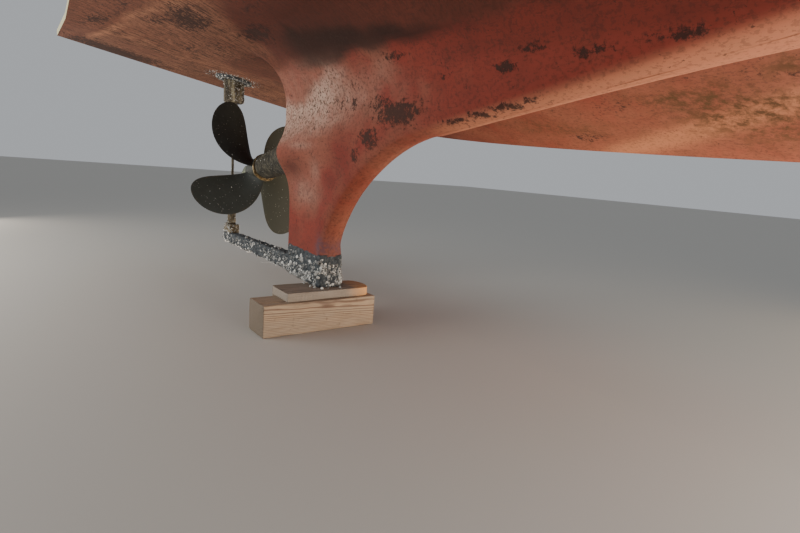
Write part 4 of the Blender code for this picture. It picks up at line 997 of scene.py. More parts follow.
def makeShoe():
    # plan outline carried up, pushed out along its normals by noise, edges drawn in
    corners = [(shoe["front"], shoe["frontHalf"]), (shoe["aft"], shoe["aftHalf"]),
               (shoe["aft"], -shoe["aftHalf"]), (shoe["front"], -shoe["frontHalf"])]
    plan = roundedLoop(corners, shoe["corner"], 300)
    top = shoe["top"] + shoe["lip"]
    heights = np.linspace(shoe["low"], top, 48)
    grid = np.empty((len(heights), len(plan), 3))
    grid[..., :2] = plan[None]
    grid[..., 2] = heights[:, None]
    swell = shoe["crust"] * (0.55 + 0.5 * cloudy(grid, shoe["cell"], 31, 3))
    swell = swell * softStep(0, 0.008, heights - shoe["low"])[:, None]
    rim = softStep(0.0, 0.010, top - heights)[:, None]
    grid = swollen(grid, swell * (0.25 + 0.75 * rim) - 0.001 * (1 - rim))
    wave = 0.004 * cloudy(grid[-1:], 0.03, 5, 2)
    grid[-4:, :, 2] += wave * np.linspace(0.3, 1, 4)[:, None]
    makePiece("skegShoe", [ringSkin(grid)], crustGrey, "structure", 60,
              ("skeg_shoe",))
    # shells sit low and forward, and none where the shoe stands on the plank
    wish = 0.55 + 0.6 * cloudy(grid, 0.05, 9, 2)
    lower = softStep(shoe["top"], shoe["low"] + 0.03, grid[..., 2])
    forward = softStep(shoe["aft"], shoe["front"], grid[..., 0])
    wish = wish * (0.08 + 0.5 * lower + 0.9 * lower * forward)
    spots, normals = pickSpots(grid[:-2], shoe["shells"], wish[:-2])
    keep = spots[:, 2] > shoe["low"] + 0.004
    addBarnacles("shoeBarnacles", spots[keep], normals[keep],
                 shellSizes(keep.sum(), shoe["radius"]), "structure")
    fallen = np.array(shoe["fallen"])
    places = np.column_stack([fallen[:, :2], np.full(len(fallen), shoe["low"] + 0.0009)])
    addBarnacles("fallenShells", places, np.tile([[0, 0, 1.0]], (len(fallen), 1)),
                 fallen[:, 2], "structure")


def makeBar():
    # a rounded rectangle carried from the shoe aft, its depth tapering along a straight line
    aft, front = hull["rudderX"] - bar["reach"], shoe["aft"] + bar["into"]
    x = np.linspace(front, aft, 330)
    share = (front - x) / (front - aft)
    low = between(bar["frontLow"], bar["aftLow"], share)
    high = between(bar["frontTop"], bar["aftTop"], share)
    loop = roundedLoop(boxCorners(1, -1, 1), bar["round"], 84)
    grid = np.empty((len(x), len(loop), 3))
    grid[..., 0] = x[:, None]
    grid[..., 1] = loop[None, :, 0] * bar["halfWidth"]
    grid[..., 2] = ((low + high) / 2)[:, None] + loop[None, :, 1] * ((high - low) / 2)[:, None]
    lump = 0.45 + 0.5 * cloudy(grid, 0.055, 41, 2) + 0.45 * cloudy(grid, bar["cell"], 43, 2)
    taper = softStep(0, 0.02, x - aft)[:, None]
    swell = bar["crust"] * np.clip(lump, -0.1, 1.6) * (0.35 + 0.65 * taper)
    normal = outwardOf(grid)
    sag = np.where(normal[..., 2] < 0, 1.9, 1.0)
    grid = grid + normal * (swell * sag)[..., None]
    makePiece("heelBar", [ringSkin(grid)], crustGrey, "structure", 60,
              ("heel_bar",))
    wish = 0.5 + 0.7 * cloudy(grid, 0.07, 12, 2)
    wish = wish * (0.3 + 0.9 * softStep(0.6, -0.3, normal[..., 2]))
    growShells("barBarnacles", grid, bar, "structure", wish)


def makeShred():
    # a flat oval carried along the bar, narrowing to a point, hanging and waving
    along = np.linspace(0, 1, 40)[:, None]
    around = fullTurn(12)
    width = shred["halfWidth"] * np.sqrt(np.clip(1 - along ** 2, 0.001, 1))
    strip = np.empty((along.size, around.size, 3))
    strip[..., 0] = shred["x"] - shred["length"] * along
    strip[..., 1] = -0.012 + width * np.cos(around) - 0.012 * along
    strip[..., 2] = shred["z"] - shred["drop"] * along ** 0.8 + 0.004 * np.sin(6 * along) + (
        0.0011 * np.sin(around) * (1.05 - along))
    skin = ringSkin(strip)
    count = len(skin[0])
    makePiece("peelingShred", [skin], barnacleShell, "structure", 60, (),
              {"tone": np.full(count, 0.93), "mouth": np.zeros(count)})


def makeHeelBlock():
    # a rounded rectangle in plan carried up; rows at both ends are drawn in like a pillow
    low, high = np.array(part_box("heel_block"))
    middle, half = (low + high) / 2, (high - low) / 2
    loop = roundedLoop(boxCorners(half[0], -half[0], half[1]), heel["corner"], 120)
    t = np.linspace(-1, 1, 40)
    heights = np.sign(t) * (1 - (1 - np.abs(t)) ** 1.5)
    pull = heel["corner"] * 0.6 * (1 - np.sqrt(np.clip(1 - np.abs(heights) ** 8, 0, 1)))
    grid = np.empty((len(t), len(loop), 3))
    grid[..., :2] = middle[:2] + loop[None] * (1 - pull[:, None, None] / half[:2].min())
    grid[..., 2] = middle[2] + heights[:, None] * half[2]
    swell = heel["crust"] * (0.4 + 0.55 * cloudy(grid, 0.02, 51, 3))
    grid = swollen(grid, swell * softStep(1.0, 0.93, np.abs(heights))[:, None])
    makePiece("heelBlock", [ringSkin(grid)], crustBrown, "structure", 60,
              ("heel_block",))
    growShells("blockBarnacles", grid[4:-4], heel, "structure")


makeShoe()
makeBar()
makeShred()
makeHeelBlock()
print("shoe, bar and block made")


# shaft line, all turned or set round the shaft's own frame

shaftTurn = Matrix.Rotation(math.pi / 2 - shaft["rake"], 4, "Y")
shaftPlace = Matrix.Translation((shaft["x"], 0, shaft["z"])) @ shaftTurn
shaftRotation = np.array(shaftPlace.to_3x3())
shaftOrigin = np.array(shaftPlace.translation)


def onShaft(points):
    # from the shaft's frame (down, port, forward) to the object's
    return points @ shaftRotation.T + shaftOrigin


def turnedRings(profile, count):
    # a profile (radius, height) turned in count steps
    profile = np.asarray(profile, float)
    return roundRings(profile[:, :1], fullTurn(count), profile[:, 1:])


def finerProfile(profile, step):
    # the same profile with a point at least every step
    profile = np.asarray(profile, float)
    parts = []
    for a, b in zip(profile[:-1], profile[1:]):
        count = max(1, int(math.ceil(np.hypot(*(b - a)) / step)))
        parts.append(between(a, b, np.arange(count)[:, None] / count))
    parts.append(profile[-1:])
    return np.concatenate(parts)


propeller = {
    "radius": 0.406, "blades": 4, "firstAngle": math.radians(134), "pitch": 0.640,
    "root": 0.045, "chord": 0.282, "widestAt": 0.85, "tipRoundness": 7,
    "shift": 0.016, "rootThickness": 0.022, "tipThickness": 0.006, "hollow": 0.15,
    "skew": math.radians(21), "skewShape": 1.6, "rake": 0.5,
    "hubHalf": 0.080, "hubFront": 0.066, "hubMiddle": 0.064, "hubAft": 0.052,
    "chamfer": 0.006, "fit": 0.0003,
    "olive": (0.0, 0.15, 0.9, 0.45), "hubOlive": 0.25,    # how green each blade's film is
    "shells": 70, "shellRadius": (0.0010, 0.0032),
}


def bladeGrid(start):
    # sections on cylinders: chord grows with the sine of the radius and closes with a
    # root at the tip; each section is turned by the pitch angle and laid round the shaft
    p = propeller
    share = (1 - (1 - np.linspace(0, 1, 64)) ** 2.2)[:, None]
    radius = between(p["root"], p["radius"], share)
    pitchAngle = np.arctan(p["pitch"] / (2 * np.pi * radius))
    out = radius / p["radius"]
    swell = np.sin(np.pi / 2 * np.minimum(out / p["widestAt"], 1))
    end = np.sqrt(np.clip(1 - out ** p["tipRoundness"], 0, 1))
    chord = np.maximum(p["chord"] * swell * end / np.cos(pitchAngle), 0.004)
    thick = between(p["rootThickness"], p["tipThickness"], share)
    thick = thick * (1 + 0.9 * np.exp(-(radius - 0.060) / 0.012).clip(0, 1))
    thick = np.minimum(thick, chord * 0.5 + 0.001)
    turn = fullTurn(96)
    along = (1 - np.cos(turn)) / 2
    rise = np.sqrt(np.clip(along * (1 - along), 0, 1))
    rise = np.where(turn <= np.pi, rise, -p["hollow"] * rise) * thick
    across = (along - 0.5) * chord + p["shift"]
    lag = p["skew"] * share ** p["skewShape"]
    around = start + (across * np.cos(pitchAngle) - rise * np.sin(pitchAngle)) / radius - lag
    ahead = across * np.sin(pitchAngle) + rise * np.cos(pitchAngle)
    ahead = ahead - radius * lag * np.sin(pitchAngle) * p["rake"]
    grid = np.stack([-radius * np.sin(around), radius * np.cos(around), ahead], -1)
    rim = 1 - np.minimum(softStep(0, 0.018, np.minimum(along, 1 - along) * chord),
                         softStep(0, 0.018, (1 - share) * p["radius"]))
    return grid, rim


def makePropeller():
    # a turned hub with cast bumps, four blades, and small shells on the blades
    p = propeller
    bore = shaft["radius"] + p["fit"]
    profile = [(bore, p["hubHalf"]), (p["hubFront"] - p["chamfer"], p["hubHalf"]),
               (p["hubFront"], p["hubHalf"] - p["chamfer"]), (p["hubMiddle"], 0),
               (p["hubAft"], -p["hubHalf"] + p["chamfer"]),
               (p["hubAft"] - p["chamfer"], -p["hubHalf"]), (bore, -p["hubHalf"])]
    grid = turnedRings(finerProfile(profile, 0.006), 96)
    bumpy = 0.0008 * cloudy(grid, 0.018, 61, 2)
    grid[1:-1, :, :2] *= (1 + bumpy / 0.05)[1:-1, :, None]
    skins = [ringSkin(onShaft(grid))]
    rims = [np.zeros(len(skins[0][0]))]
    olives = [np.full(len(skins[0][0]), p["hubOlive"])]
    spots, normals, blades = [], [], []
    for number, olive in enumerate(p["olive"]):
        grid, rim = bladeGrid(p["firstAngle"] + number * 2 * np.pi / p["blades"])
        blades.append(onShaft(grid))
        skins.append(ringSkin(blades[-1]))
        rims.append(np.concatenate([rim.ravel(), [0, 1]]))
        olives.append(np.full(rim.size + 2, olive))
    makePiece("propeller", skins, slimedBronze, "shaft_line", 50,
              ("propeller",), {"rim": np.concatenate(rims), "olive": np.concatenate(olives)})
    for grid in blades:
        found = pickSpots(grid[8:60], p["shells"])
        spots.append(found[0])
        normals.append(found[1])
    sizes = between(*p["shellRadius"], chance.random(p["shells"] * p["blades"]) ** 3)
    addBarnacles("bladeShells", np.concatenate(spots), np.concatenate(normals), sizes,
                 "shaft_line")


fittings = {
    "nutCorners": 0.094, "nutLength": 0.046, "lockLength": 0.028, "threadEnd": 0.022,
    "threadPitch": 0.003, "threadDepth": 0.0011, "gap": 0.0003, "shaftFront": 0.810,
    # split pin: half width of its legs, how far they are bent apart, wire and eye radius
    "pinHalf": 0.0014, "pinBend": 0.010, "pinWire": 0.0013, "pinEye": 0.004,
}


def hexRings(low, high, corners):
    # distance to a hexagon's side, limited by a 30 degree chamfer cone at both ends
    around = fullTurn(120)
    apothem = corners / 2 * math.cos(math.pi / 6)
    flat = apothem / np.cos((around + np.pi / 6) % (np.pi / 3) - np.pi / 6)
    flat = np.minimum(flat, corners / 2 - 0.0008)
    depth = np.array([0, 0, 0.0008, 0.0018, 0.003, 0.0045, 0.007])
    drawn = np.array([0.012, 0.0012, 0.0003, 0, 0, 0, 0])
    height = np.concatenate([low + depth, high - depth[::-1]])
    cone = apothem + 1.8 * depth - drawn
    radius = np.minimum(flat, np.concatenate([cone, cone[::-1]])[:, None])
    return roundRings(radius, around, height[:, None])


def tubeRings(path, radius, count):
    # a circle carried along a path, square to it: two axes from the path's direction
    along = unit(np.gradient(path, axis=0))
    first = unit(np.cross(along, [[0.0, 0.0, 1.0]]))
    second = np.cross(along, first)
    turn = fullTurn(count)[..., None]
    ring = np.cos(turn) * first[:, None] + np.sin(turn) * second[:, None]
    return path[:, None] + radius * ring


def makeNuts():
    f = fittings
    top = -propeller["hubHalf"] - f["gap"]
    for name, node, length in (("propellerNut", "propeller_nut", f["nutLength"]),
                               ("lockNut", "lock_nut", f["lockLength"])):
        grid = hexRings(top - length, top, f["nutCorners"])
        makePiece(name, [ringSkin(onShaft(grid))], verdigris, "shaft_line", 30,
                  (node,))
        top -= length + f["gap"]
    # the shaft with its threaded end: the radius dips with height minus turn
    low = top - f["threadEnd"]
    height = np.concatenate([np.arange(low, top + 0.001, 0.0006), [-0.08, 0.08],
                             [f["shaftFront"]]])[:, None]
    around = fullTurn(48)
    wave = np.abs(((height / f["threadPitch"] - around / (2 * np.pi)) % 1) * 2 - 1)
    threaded = (height < top + 0.0005) * (height > low + 0.001)
    radius = shaft["radius"] - f["threadDepth"] * wave * threaded
    grid = roundRings(radius, around, height)
    makePiece("propellerShaft", [ringSkin(onShaft(grid))], turnedSteel, "shaft_line",
              30, ("propeller_shaft",))
    # split pin: a loop eye at one end, two legs bent apart at the other
    pinZ = top - f["threadEnd"] / 2
    t = np.linspace(0, 1, 60)
    bend = softStep(0.72, 1.0, t)
    paths = [np.stack([sign * (f["pinHalf"] + f["pinBend"] * bend),
                       -0.030 + 0.062 * t - 0.004 * bend, pinZ + 0 * t], -1)
             for sign in (-1, 1)]
    eye = np.linspace(-np.pi * 0.8, np.pi * 0.8, 24)
    paths.append(np.stack([f["pinEye"] * np.sin(eye), -0.0335 - f["pinEye"] * np.cos(eye),
                           pinZ + 0 * eye], -1))
    skins = [ringSkin(onShaft(tubeRings(path, f["pinWire"], 10))) for path in paths]
    makePiece("splitPin", skins, turnedSteel, "shaft_line", 60, ("cotter_pin",))


housing = {
    "aft": 0.110, "length": 0.405, "aftRadius": 0.066, "waist": 0.070, "forward": 0.094,
    "collar": 0.030, "shoulder": 0.170, "inner": 0.0408, "seat": 0.045, "chamfer": 0.003,
    "crust": 0.0016, "shells": 50, "radius": (0.0014, 0.004),
    "rimRadius": 0.073, "rimThickness": 0.014, "rimInner": 0.030,
    "rimGrowth": 0.0024, "rimLower": 0.0070,
}


def makeBearing():
    # a turned profile with a crust, and a rim whose outer edge has worn unevenly and
    # grown below
    h = housing
    front = h["aft"] + h["length"]
    collar = front - h["collar"]
    outside = [(h["forward"], front), (h["forward"], collar),
               ((h["forward"] + h["waist"]) / 2, collar - h["shoulder"] * 0.4),
               (h["waist"], collar - h["shoulder"]), (h["waist"], h["aft"] + h["seat"]),
               (h["aftRadius"], h["aft"] + h["chamfer"]),
               (h["aftRadius"] - h["chamfer"], h["aft"]), (h["inner"], h["aft"])]
    grid = turnedRings(finerProfile(outside, 0.004), 150)
    swell = h["crust"] * (0.5 + cloudy(grid, 0.016, 71, 3))
    swell[-12:] *= np.linspace(1, 0, 12)[:, None]
    grid[..., :2] *= (1 + swell / 0.07)[..., None]
    grid = onShaft(grid)
    makePiece("bearingHousing", [ringSkin(grid)], mossGreen, "structure", 50,
              ("bearing_housing",))
    growShells("housingShells", grid[40:-14], h, "structure")
    aft = h["aft"] - propeller["fit"]
    rim = [(h["rimInner"], aft), (h["rimRadius"], aft),
           (h["rimRadius"], aft - h["rimThickness"] + h["chamfer"]),
           (h["rimRadius"] - h["chamfer"], aft - h["rimThickness"]),
           (h["rimInner"], aft - h["rimThickness"])]
    grid = turnedRings(finerProfile(rim, 0.003), 150)
    lower = softStep(-0.2, 0.6, grid[..., 0] / h["rimRadius"])
    ragged = h["rimGrowth"] * cloudy(grid, 0.018, 75, 3) - 0.0004 + h["rimLower"] * lower
    edge = softStep(0.045, 0.068, np.hypot(grid[..., 0], grid[..., 1]))
    grid[..., :2] *= (1 + edge * ragged / 0.07)[..., None]
    makePiece("bearingRim", [ringSkin(onShaft(grid))], scrapedBronze, "structure",
              40, ("bearing_rim",))


makePropeller()
makeNuts()
makeBearing()
keptNodes = {
    "stern_tube": scrapedBronze, "bearing_rubber": bearingRubber, "heel_bush": bearingRubber,
    "lower_stock_bush": bearingRubber, "upper_stock_bush": bearingRubber,
    "rudder_stock": turnedSteel,
}
for name, finish in keptNodes.items():
    nodes[name].data.materials.clear()
    nodes[name].data.materials.append(finish)
print("shaft line made")


# rudder with its stock, pintle and trunk

rudder = {
    "swing": math.radians(19.2), "thickness": 0.012,
    "top": 1.052, "bottom": 0.352, "balance": 0.092, "tail": 0.435, "tailBottom": 0.470,
    "stock": 0.025, "growth": 0.0016, "shells": 80, "radius": (0.0015, 0.0045),
    "fork": 0.200, "bolts": (0.25, 0.75),    # the bolts' places as shares of the fork
    "boltCorners": 0.024, "boltHeight": 0.0068,
}
pintle = {
    "low": 0.309, "high": 0.400, "half": 0.024, "front": 0.048, "aft": -0.072,
    "corner": 0.010, "crust": 0.0022, "shells": 70, "radius": (0.002, 0.0045),
    "pin": ((0.019, 0.312), (0.019, 0.262), (0.016, 0.258)),
}
trunk = {
    "radius": 0.060, "wall": 0.010, "bottom": 1.072, "top": 1.295, "chamfer": 0.008,
    "crust": 0.0042, "hullAt": 1.22, "shellsTo": 1.20,
    "shells": 260, "shellRadius": (0.002, 0.0058),
    # the flange, and the shells on it and spread round it on the hull
    "flange": 0.105, "flangeInner": 0.058, "flangeBelow": 0.0150, "flangeAbove": 0.001,
    "flangeCrust": 0.0035, "onFlange": 320, "onHull": 420, "spread": 0.075,
    "hullShellRadius": (0.0012, 0.004),
}
chordWay = np.array([math.cos(rudder["swing"]), -math.sin(rudder["swing"]), 0])
faceWay = np.array([math.sin(rudder["swing"]), math.cos(rudder["swing"]), 0])
rudderOrigin = np.array([hull["rudderX"], 0, 0])


def onRudder(chord, up, side):
    # chord forward, height and distance from the blade's middle plane, to the object's frame
    return (rudderOrigin + chord[..., None] * chordWay + side[..., None] * faceWay
            + up[..., None] * np.array([0, 0, 1.0]))


def makeRudderBlade():
    # outline scaled in rings towards a standing spine; edges are half rounds, faces swell
    r = rudder
    outline = [(r["balance"], r["top"]), (-r["tail"], r["top"]),
               (-r["tail"] + 0.020, r["tailBottom"] + 0.150),
               (-r["tail"] + 0.100, r["tailBottom"]), (-r["tail"] + 0.160, r["bottom"] + 0.030),
               (-0.100, r["bottom"]), (0.056, r["bottom"]),
               (r["balance"] - 0.010, r["bottom"] + 0.150)]
    loop = roundedLoop(outline, 0.022, 380, 8)
    spine = np.stack([np.full(len(loop), -0.15), np.clip(loop[:, 1], 0.60, 0.80)], -1)
    shares = 1 - np.concatenate([[0, 0.002, 0.006, 0.012, 0.022], np.linspace(0.05, 1, 30)])
    half = r["thickness"] / 2
    thick = np.full(len(shares), half)
    thick[:5] = half * np.sqrt(np.clip(1 - (1 - np.linspace(0.15, 1, 5)) ** 2, 0, 1))
    flat = spine[None] + (loop - spine)[None] * shares[:, None, None]
    faces = []
    for side in (1, -1):
        spot = onRudder(flat[..., 0], flat[..., 1], np.full(flat.shape[:2], side * 0.006))
        swell = r["growth"] * (0.3 + 0.7 * cloudy(spot, 0.03, 81 + side, 3)).clip(0, None)
        swell = swell * softStep(0.0, 0.05, 1 - shares)[:, None]
        faces.append(onRudder(flat[..., 0], flat[..., 1], side * (thick[:, None] + swell)))
    grid = np.concatenate([faces[0][::-1], faces[1]])
    makePiece("rudderBlade", [ringSkin(grid)], rudderSlime, "rudder", 50,
              ("rudder_blade",))
    for face, name, way in ((faces[0], "Port", 1), (faces[1], "Starboard", -1)):
        spots, _ = pickSpots(face[3:], r["shells"])
        addBarnacles("rudderShells" + name, spots, np.tile(faceWay * way, (len(spots), 1)),
                     shellSizes(len(spots), r["radius"]), "rudder")


def makePintle():
    # block on the blade's foot: rounded box in the rudder's own frame, with its pin below
    p = pintle
    loop = roundedLoop(boxCorners(p["front"], p["aft"], p["half"]), p["corner"], 110)
    t = np.linspace(-1, 1, 30)[:, None]
    height = (p["low"] + p["high"]) / 2 + (
        np.sign(t) * (1 - (1 - np.abs(t)) ** 1.4) * (p["high"] - p["low"]) / 2)
    pull = 1 - 0.10 * (1 - np.sqrt(np.clip(1 - np.abs(t) ** 10, 0, 1)))
    grid = onRudder(loop[None, :, 0] * pull, np.repeat(height, len(loop), axis=1),
                    loop[None, :, 1] * pull)
    swell = p["crust"] * (0.3 + 0.7 * cloudy(grid, 0.018, 91, 3)) * softStep(1, 0.85, np.abs(t))
    grid = swollen(grid, swell)
    pin = turnedRings(p["pin"], 40)
    pin[..., :2] += rudderOrigin[:2]
    makePiece("rudderPintle", [ringSkin(grid), ringSkin(pin)], crustBrown, "rudder",
              50, ("rudder_pintle",))
    growShells("pintleShells", grid[3:-3], p, "rudder")


def makeStockBolts():
    # two bolts through the stock's fork: hexagon heads on both sides
    for number, share in enumerate(rudder["bolts"], 1):
        height = rudder["top"] - rudder["fork"] * share
        grid = hexRings(0.0, rudder["boltHeight"], rudder["boltCorners"])
        skins = [ringSkin(onRudder(grid[..., 0], grid[..., 1] + height,
                                   (grid[..., 2] + rudder["stock"]) * side))
                 for side in (1, -1)]
        makePiece(f"stockBolt{number}", skins, verdigris, "rudder", 30,
                  (f"stock_bolt_{number}",))


def makeTrunk():
    # crusted tube: the growth stands thicker on its port and forward side
    t = trunk
    inner = t["radius"] - t["wall"]
    outside = finerProfile([(inner, t["top"]), (t["radius"], t["top"]),
                            (t["radius"], t["bottom"] + t["chamfer"]),
                            (t["radius"] - t["chamfer"], t["bottom"]),
                            (inner, t["bottom"])], 0.004)
    inside = finerProfile([(inner, t["bottom"]), (inner, t["top"])], 0.03)[1:-1]
    grid = turnedRings(np.concatenate([outside, inside]), 130)
    heavy = softStep(-0.4, 0.7, (grid[..., 0] * 0.6 + grid[..., 1] * 0.8) / t["radius"])
    swell = t["crust"] * (0.15 + 0.75 * heavy) * (0.7 + 0.6 * cloudy(grid, 0.020, 95, 3))
    swell = swell * (softStep(1.19, 1.12, grid[..., 2]) * 0.4 + 0.6)
    swell = swell * (np.hypot(grid[..., 0], grid[..., 1]) > t["radius"] - 0.0005)
    swell = swell * (grid[..., 2] < t["hullAt"])
    grid[..., :2] *= (1 + swell / t["radius"])[..., None]
    grid[..., 0] += hull["rudderX"]
    makePiece("rudderTrunk", [ringSkin(np.concatenate([grid, grid[:1]]), False)], trunkFilm,
              "structure", 50, ("rudder_trunk",))
    shown = grid[8:len(outside) - 4]
    bare = shown[..., 2] < t["shellsTo"]
    spots, normals = pickSpots(shown, t["shells"], (heavy[8:len(outside) - 4] + 0.12) * bare)
    # flange against the sloping hull, with growth spread round it on the hull
    profile = finerProfile([(t["flangeInner"], -t["flangeBelow"]),
                            (t["flange"] - 0.002, -t["flangeBelow"] + 0.0004),
                            (t["flange"], -0.012), (t["flange"], t["flangeAbove"]),
                            (t["flangeInner"], t["flangeAbove"])], 0.0045)
    ring = turnedRings(profile, 150)
    lump = t["flangeCrust"] * (0.4 + 0.6 * cloudy(ring + 3, 0.018, 97, 3))
    ring[..., 2] -= lump * (ring[..., 2] < -0.004)
    ring[..., :2] *= (1 + lump / t["flange"] * (profile[:, :1] > 0.1))[..., None]
    spread = t["flange"] + t["spread"] * chance.random(t["onHull"]) ** 1.6
    turn = 2 * np.pi * chance.random(t["onHull"])
    more = np.stack([spread * np.cos(turn), spread * np.sin(turn), 0 * turn], -1)
    onFlange, _ = pickSpots(ring[4:20], t["onFlange"])
    for part in (ring, more, onFlange):
        part[..., 0] += hull["rudderX"]
        part[..., 2] += underside(part[..., 0]) - hull["deadrise"] * part[..., 1]
    makePiece("trunkFlange", [ringSkin(np.concatenate([ring, ring[:1]]), False)], crustGrey,
              "structure", 50, ("trunk_flange",))
    down = unit(np.array([[-hull["fall"], -hull["deadrise"], -1.0]]))
    spots = np.concatenate([spots, onFlange, more])
    normals = np.concatenate([normals, np.repeat(down, t["onFlange"] + t["onHull"], axis=0)])
    sizes = np.concatenate([shellSizes(t["shells"] + t["onFlange"], t["shellRadius"]),
                            shellSizes(t["onHull"], t["hullShellRadius"])])
    addBarnacles("trunkBarnacles", spots, normals, sizes, "structure")


makeRudderBlade()
makePintle()
makeStockBolts()
makeTrunk()
print("rudder made")


# timbers and plank

timbers = {
    # corner radius, and a crack: place across, start, end, width and depth
    "front": {"name": "frontTimber", "node": "front_timber", "wood": "sawnPaleSoftwood",
              "corner": 0.006, "seed": 101, "crack": (0.02, -0.36, -0.12, 0.0022, 0.006)},
    "rear": {"name": "rearTimber", "node": "rear_timber", "wood": "sawnGreySoftwood",
             "corner": 0.008, "seed": 111, "crack": (-0.20, -0.30, 0.10, 0.0025, 0.008)},
}
plank = {
    "corner": 0.006, "shoulder": 0.045,      # its port end is rounded over this length
    # rows up its side: share of the height, and how far each is drawn in
    "heights": (0, 0, 0.03, 0.09, 0.3, 0.6, 0.9, 0.97, 1, 1),
    "drawnIn": (0.0035, 0.0028, 0.0010, 0, 0, 0, 0, 0.0010, 0.0028, 0.0035),
    # the split: place off the middle, half width, depth and length from the port end
    "splitX": 0.030, "splitHalf": 0.0040, "splitDepth": 0.016, "splitLength": 0.20,
}
greyEnd = 0.9


def beamRings(low, high, corner, seed, crack):
    # a rounded rectangle carried along Y; its ends are drawn in, its faces dip along the
    # grain by noise stretched lengthwise, and the crack is a narrow valley on top
    half, middle = (high - low) / 2, (high + low) / 2
    loop = roundedLoop(boxCorners(half[0], -half[0], half[2]), corner, 220)
    length = high[1] - low[1]
    ends = np.array([0, 0.0004, 0.0014, 0.003, 0.006])
    along = np.concatenate([ends, np.linspace(0.012, length - 0.012, 120),
                            length - ends[::-1]])
    away = np.minimum(along, length - along)
    pull = 0.0035 * (1 - np.sqrt(np.clip(1 - (1 - np.clip(away / 0.004, 0, 1)) ** 2, 0, 1)))
    grid = np.empty((len(along), len(loop), 3))
    grid[..., 0] = middle[0] + loop[None, :, 0] * (1 - pull[:, None] / half[0])
    grid[..., 1] = (low[1] + along)[:, None]
    grid[..., 2] = middle[2] + loop[None, :, 1] * (1 - pull[:, None] / half[2])
    drawn = grid * np.array([1.0, 0.16, 1.0])
    dip = -0.0011 * (0.5 + 0.5 * cloudy(drawn, 0.010, seed, 2))
    dip -= 0.0012 * softStep(0.1, 0.6, cloudy(drawn, 0.03, seed + 5, 2))
    grid = swollen(grid, dip * (0.3 + 0.7 * softStep(0.0, 0.01, away)[:, None]))
    crackX, start, end, wide, deep = crack
    path = crackX + 0.006 * cloudy(drawn * np.array([0, 1, 0]), 0.02, seed + 9)
    valley = np.clip(1 - np.abs(grid[..., 0] - path) / wide, 0, 1)
    reach = softStep(start, start + 0.03, grid[..., 1]) * softStep(end, end - 0.06, grid[..., 1])
    grid[..., 2] -= deep * valley * reach * (grid[..., 2] > middle[2] + half[2] * 0.8)
    return grid


def addBeam(look, finish):
    # grey is strong on the sawn ends, less on the weathered top, 0 along the sides
    low, high = np.array(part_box(look["node"]))
    grid = beamRings(low, high, look["corner"], look["seed"], look["crack"])
    away = np.minimum(grid[..., 1] - low[1], high[1] - grid[..., 1])
    top = 0.25 * softStep(high[2] - 0.006, high[2] - 0.002, grid[..., 2])
    ends = greyEnd * np.maximum(softStep(0.004, 0.001, away), top).ravel()
    marks = {"end": [*ends, greyEnd, greyEnd], "fresh": np.zeros(len(ends) + 2)}
    makePiece(look["name"], [ringSkin(grid)], finish, "structure", 50,
              (look["node"],), marks)


def addPlank(finish):
    # the plank's plan is its outline; rows carry it up and then in over the top, and a
    # split runs in from its port end
    low, high = np.array(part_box("packing_plank"))
    half, middle = (high - low)[0] / 2, (high + low)[0] / 2
    turn = np.linspace(0, np.pi, 15)[1:-1]
    shoulder = high[1] - plank["shoulder"]
    outline = [(high[0], low[1]), (high[0], shoulder)]
    outline += [(middle + half * math.cos(t), shoulder + plank["shoulder"] * math.sin(t))
                for t in turn]
    outline += [(low[0], shoulder), (low[0], low[1])]
    loop = roundedLoop(outline, plank["corner"], 420)
    centre = np.array([middle, (low[1] + high[1]) / 2])
    away = loop - centre
    far = np.linalg.norm(away, axis=1, keepdims=True)
    rows = [np.column_stack([centre + away * (1 - inset / far),
                             np.full(len(loop), low[2] + (high[2] - low[2]) * share)])
            for share, inset in zip(plank["heights"], plank["drawnIn"])]
    rows += [np.column_stack([centre + away * share, np.full(len(loop), high[2])])
             for share in 1 - np.linspace(0, 1, 26)[1:-1] ** 1.3]
    grid = np.array(rows)
    drawn = grid * np.array([1.0, 0.14, 1.0])
    top = grid[..., 2] > high[2] - 0.001
    grid[..., 2] -= top * 0.0016 * (0.5 + 0.5 * cloudy(drawn, 0.009, 121, 2))
    side = (grid[..., 2] > low[2] + 0.001) * ~top
    push = 0.0016 * cloudy(grid * np.array([1, 1, 0.3]), 0.012, 123, 2) * side
    grid[..., 0] -= np.abs(push) * np.sign(grid[..., 0] - middle)
    path = middle + plank["splitX"] + 0.004 * cloudy(drawn * np.array([0, 1, 0]), 0.02, 5)
    valley = np.clip(1 - np.abs(grid[..., 0] - path) / plank["splitHalf"], 0, 1)
    reach = softStep(high[1] - plank["splitLength"], high[1] - 0.02, grid[..., 1])
    grid[..., 2] -= top * plank["splitDepth"] * valley * reach
    broken = grid[..., 1] + 0.02 * cloudy(drawn, 0.01, 7)
    fresh = softStep(high[1] - 0.15, high[1] - 0.02, broken)
    fresh = 0.85 * fresh * (0.55 + 0.45 * (grid[..., 0] > path))
    fresh = fresh * ~(top & (grid[..., 1] < shoulder - 0.05))
    marks = {"fresh": [*fresh.ravel(), 0, 0], "end": [*(0.5 * top).ravel(), 0, 0]}
    makePiece("packingPlank", [ringSkin(grid)], finish, "structure", 50,
              ("packing_plank",), marks)


for key, look in timbers.items():
    addBeam(look, makeWood(look["wood"], wood[key]))
addPlank(makeWood("splitGreyPlank", wood["plank"]))
print("timbers made")


# studio: floor, soft lights, camera at the photograph's viewing angle

studio = {"floor": "#b6b3ad", "floorHalf": 30.0, "sky": "#d9dde2", "skyStrength": 0.60}
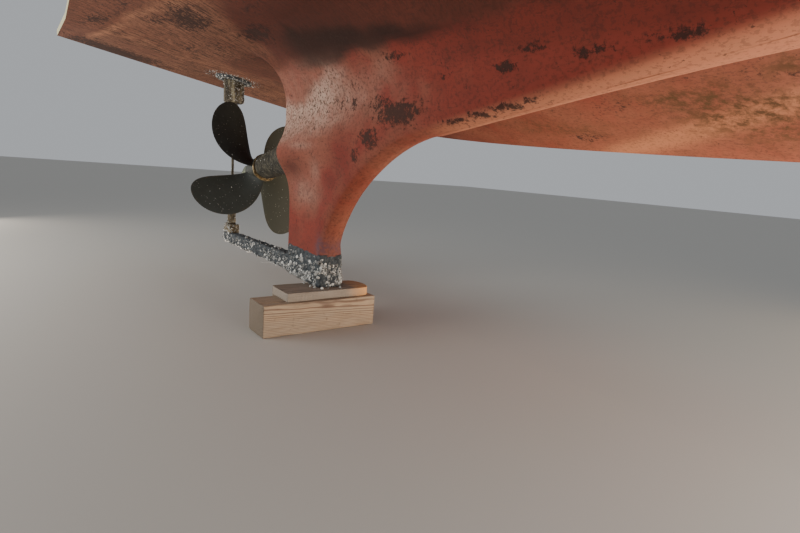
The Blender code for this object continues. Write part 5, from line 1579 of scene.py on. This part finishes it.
# soft lamps: place, aim, width and height, power, colour
lamps = {
    "keyLight": ((-1.5, -3.3, 1.1), (-0.3, 0, 0.75), (2.6, 1.0), 104, "#fffaf2"),
    "portLight": ((2.9, 2.2, 0.35), (0.8, 0.45, 0.95), (2.6, 0.7), 45, "#ffdfb6"),
    "portGlow": ((1.2, 0.80, 0.03), (1.2, 0.70, 1.0), (2.2, 0.9), 23, "#ffe4c0"),
    "aftLight": ((-3.6, -2.1, 0.4), (-1.2, 0, 1.1), (1.8, 0.6), 24, "#fff3e4"),
    "aftGlow": ((-1.5, 0.20, 0.03), (-1.5, 0.10, 1.1), (1.3, 0.8), 9, "#ffeedd"),
    "frontLight": ((3.2, 0.25, 0.40), (0, 0, 0.25), (1.0, 0.4), 50, "#fff6ec"),
}
view = {
    "place": (1.983, -1.140, 0.721), "forward": (-0.77859, 0.60060, -0.18187),
    "up": (-0.19184, 0.04813, 0.98025), "lens": 22.752, "sensor": 36.0, "near": 0.02,
}


def makeFloor():
    mesh = bpy.data.meshes.new("studioFloor")
    half = studio["floorHalf"]
    corners = boxCorners(half, -half, half)
    mesh.from_pydata([(x, y, 0) for x, y in corners], [], [(0, 1, 2, 3)])
    finish, _, shader, _ = newFinish("paintedStudioFloor", 0.85)
    shader.inputs["Base Color"].default_value = linearColour(studio["floor"])
    mesh.materials.append(finish)
    floor = bpy.data.objects.new("studioFloor", mesh)
    bpy.context.scene.collection.objects.link(floor)


def addLamps():
    for name, (place, aim, size, power, colour) in lamps.items():
        lamp = bpy.data.lights.new(name, "AREA")
        lamp.shape = "RECTANGLE"
        lamp.size, lamp.size_y = size
        lamp.energy = power
        lamp.color = linearColour(colour)[:3]
        light = bpy.data.objects.new(name, lamp)
        light.location = place
        way = Vector(aim) - Vector(place)
        light.rotation_euler = way.to_track_quat("-Z", "Y").to_euler()
        bpy.context.scene.collection.objects.link(light)


def addSky():
    world = bpy.data.worlds.new("studioSky")
    world.use_nodes = True
    background = world.node_tree.nodes["Background"]
    background.inputs["Color"].default_value = linearColour(studio["sky"])
    background.inputs["Strength"].default_value = studio["skyStrength"]
    bpy.context.scene.world = world


def addCamera():
    camera = bpy.data.cameras.new("photoCamera")
    camera.sensor_width = view["sensor"]
    camera.lens = view["lens"]
    camera.clip_start = view["near"]
    forward, up = Vector(view["forward"]), Vector(view["up"])
    eye = bpy.data.objects.new("photoCamera", camera)
    turn = Matrix((forward.cross(up), up, -forward)).transposed().to_4x4()
    eye.matrix_world = Matrix.Translation(view["place"]) @ turn
    bpy.context.scene.collection.objects.link(eye)
    bpy.context.scene.camera = eye


makeFloor()
addSky()
addLamps()
addCamera()
print("studio made")
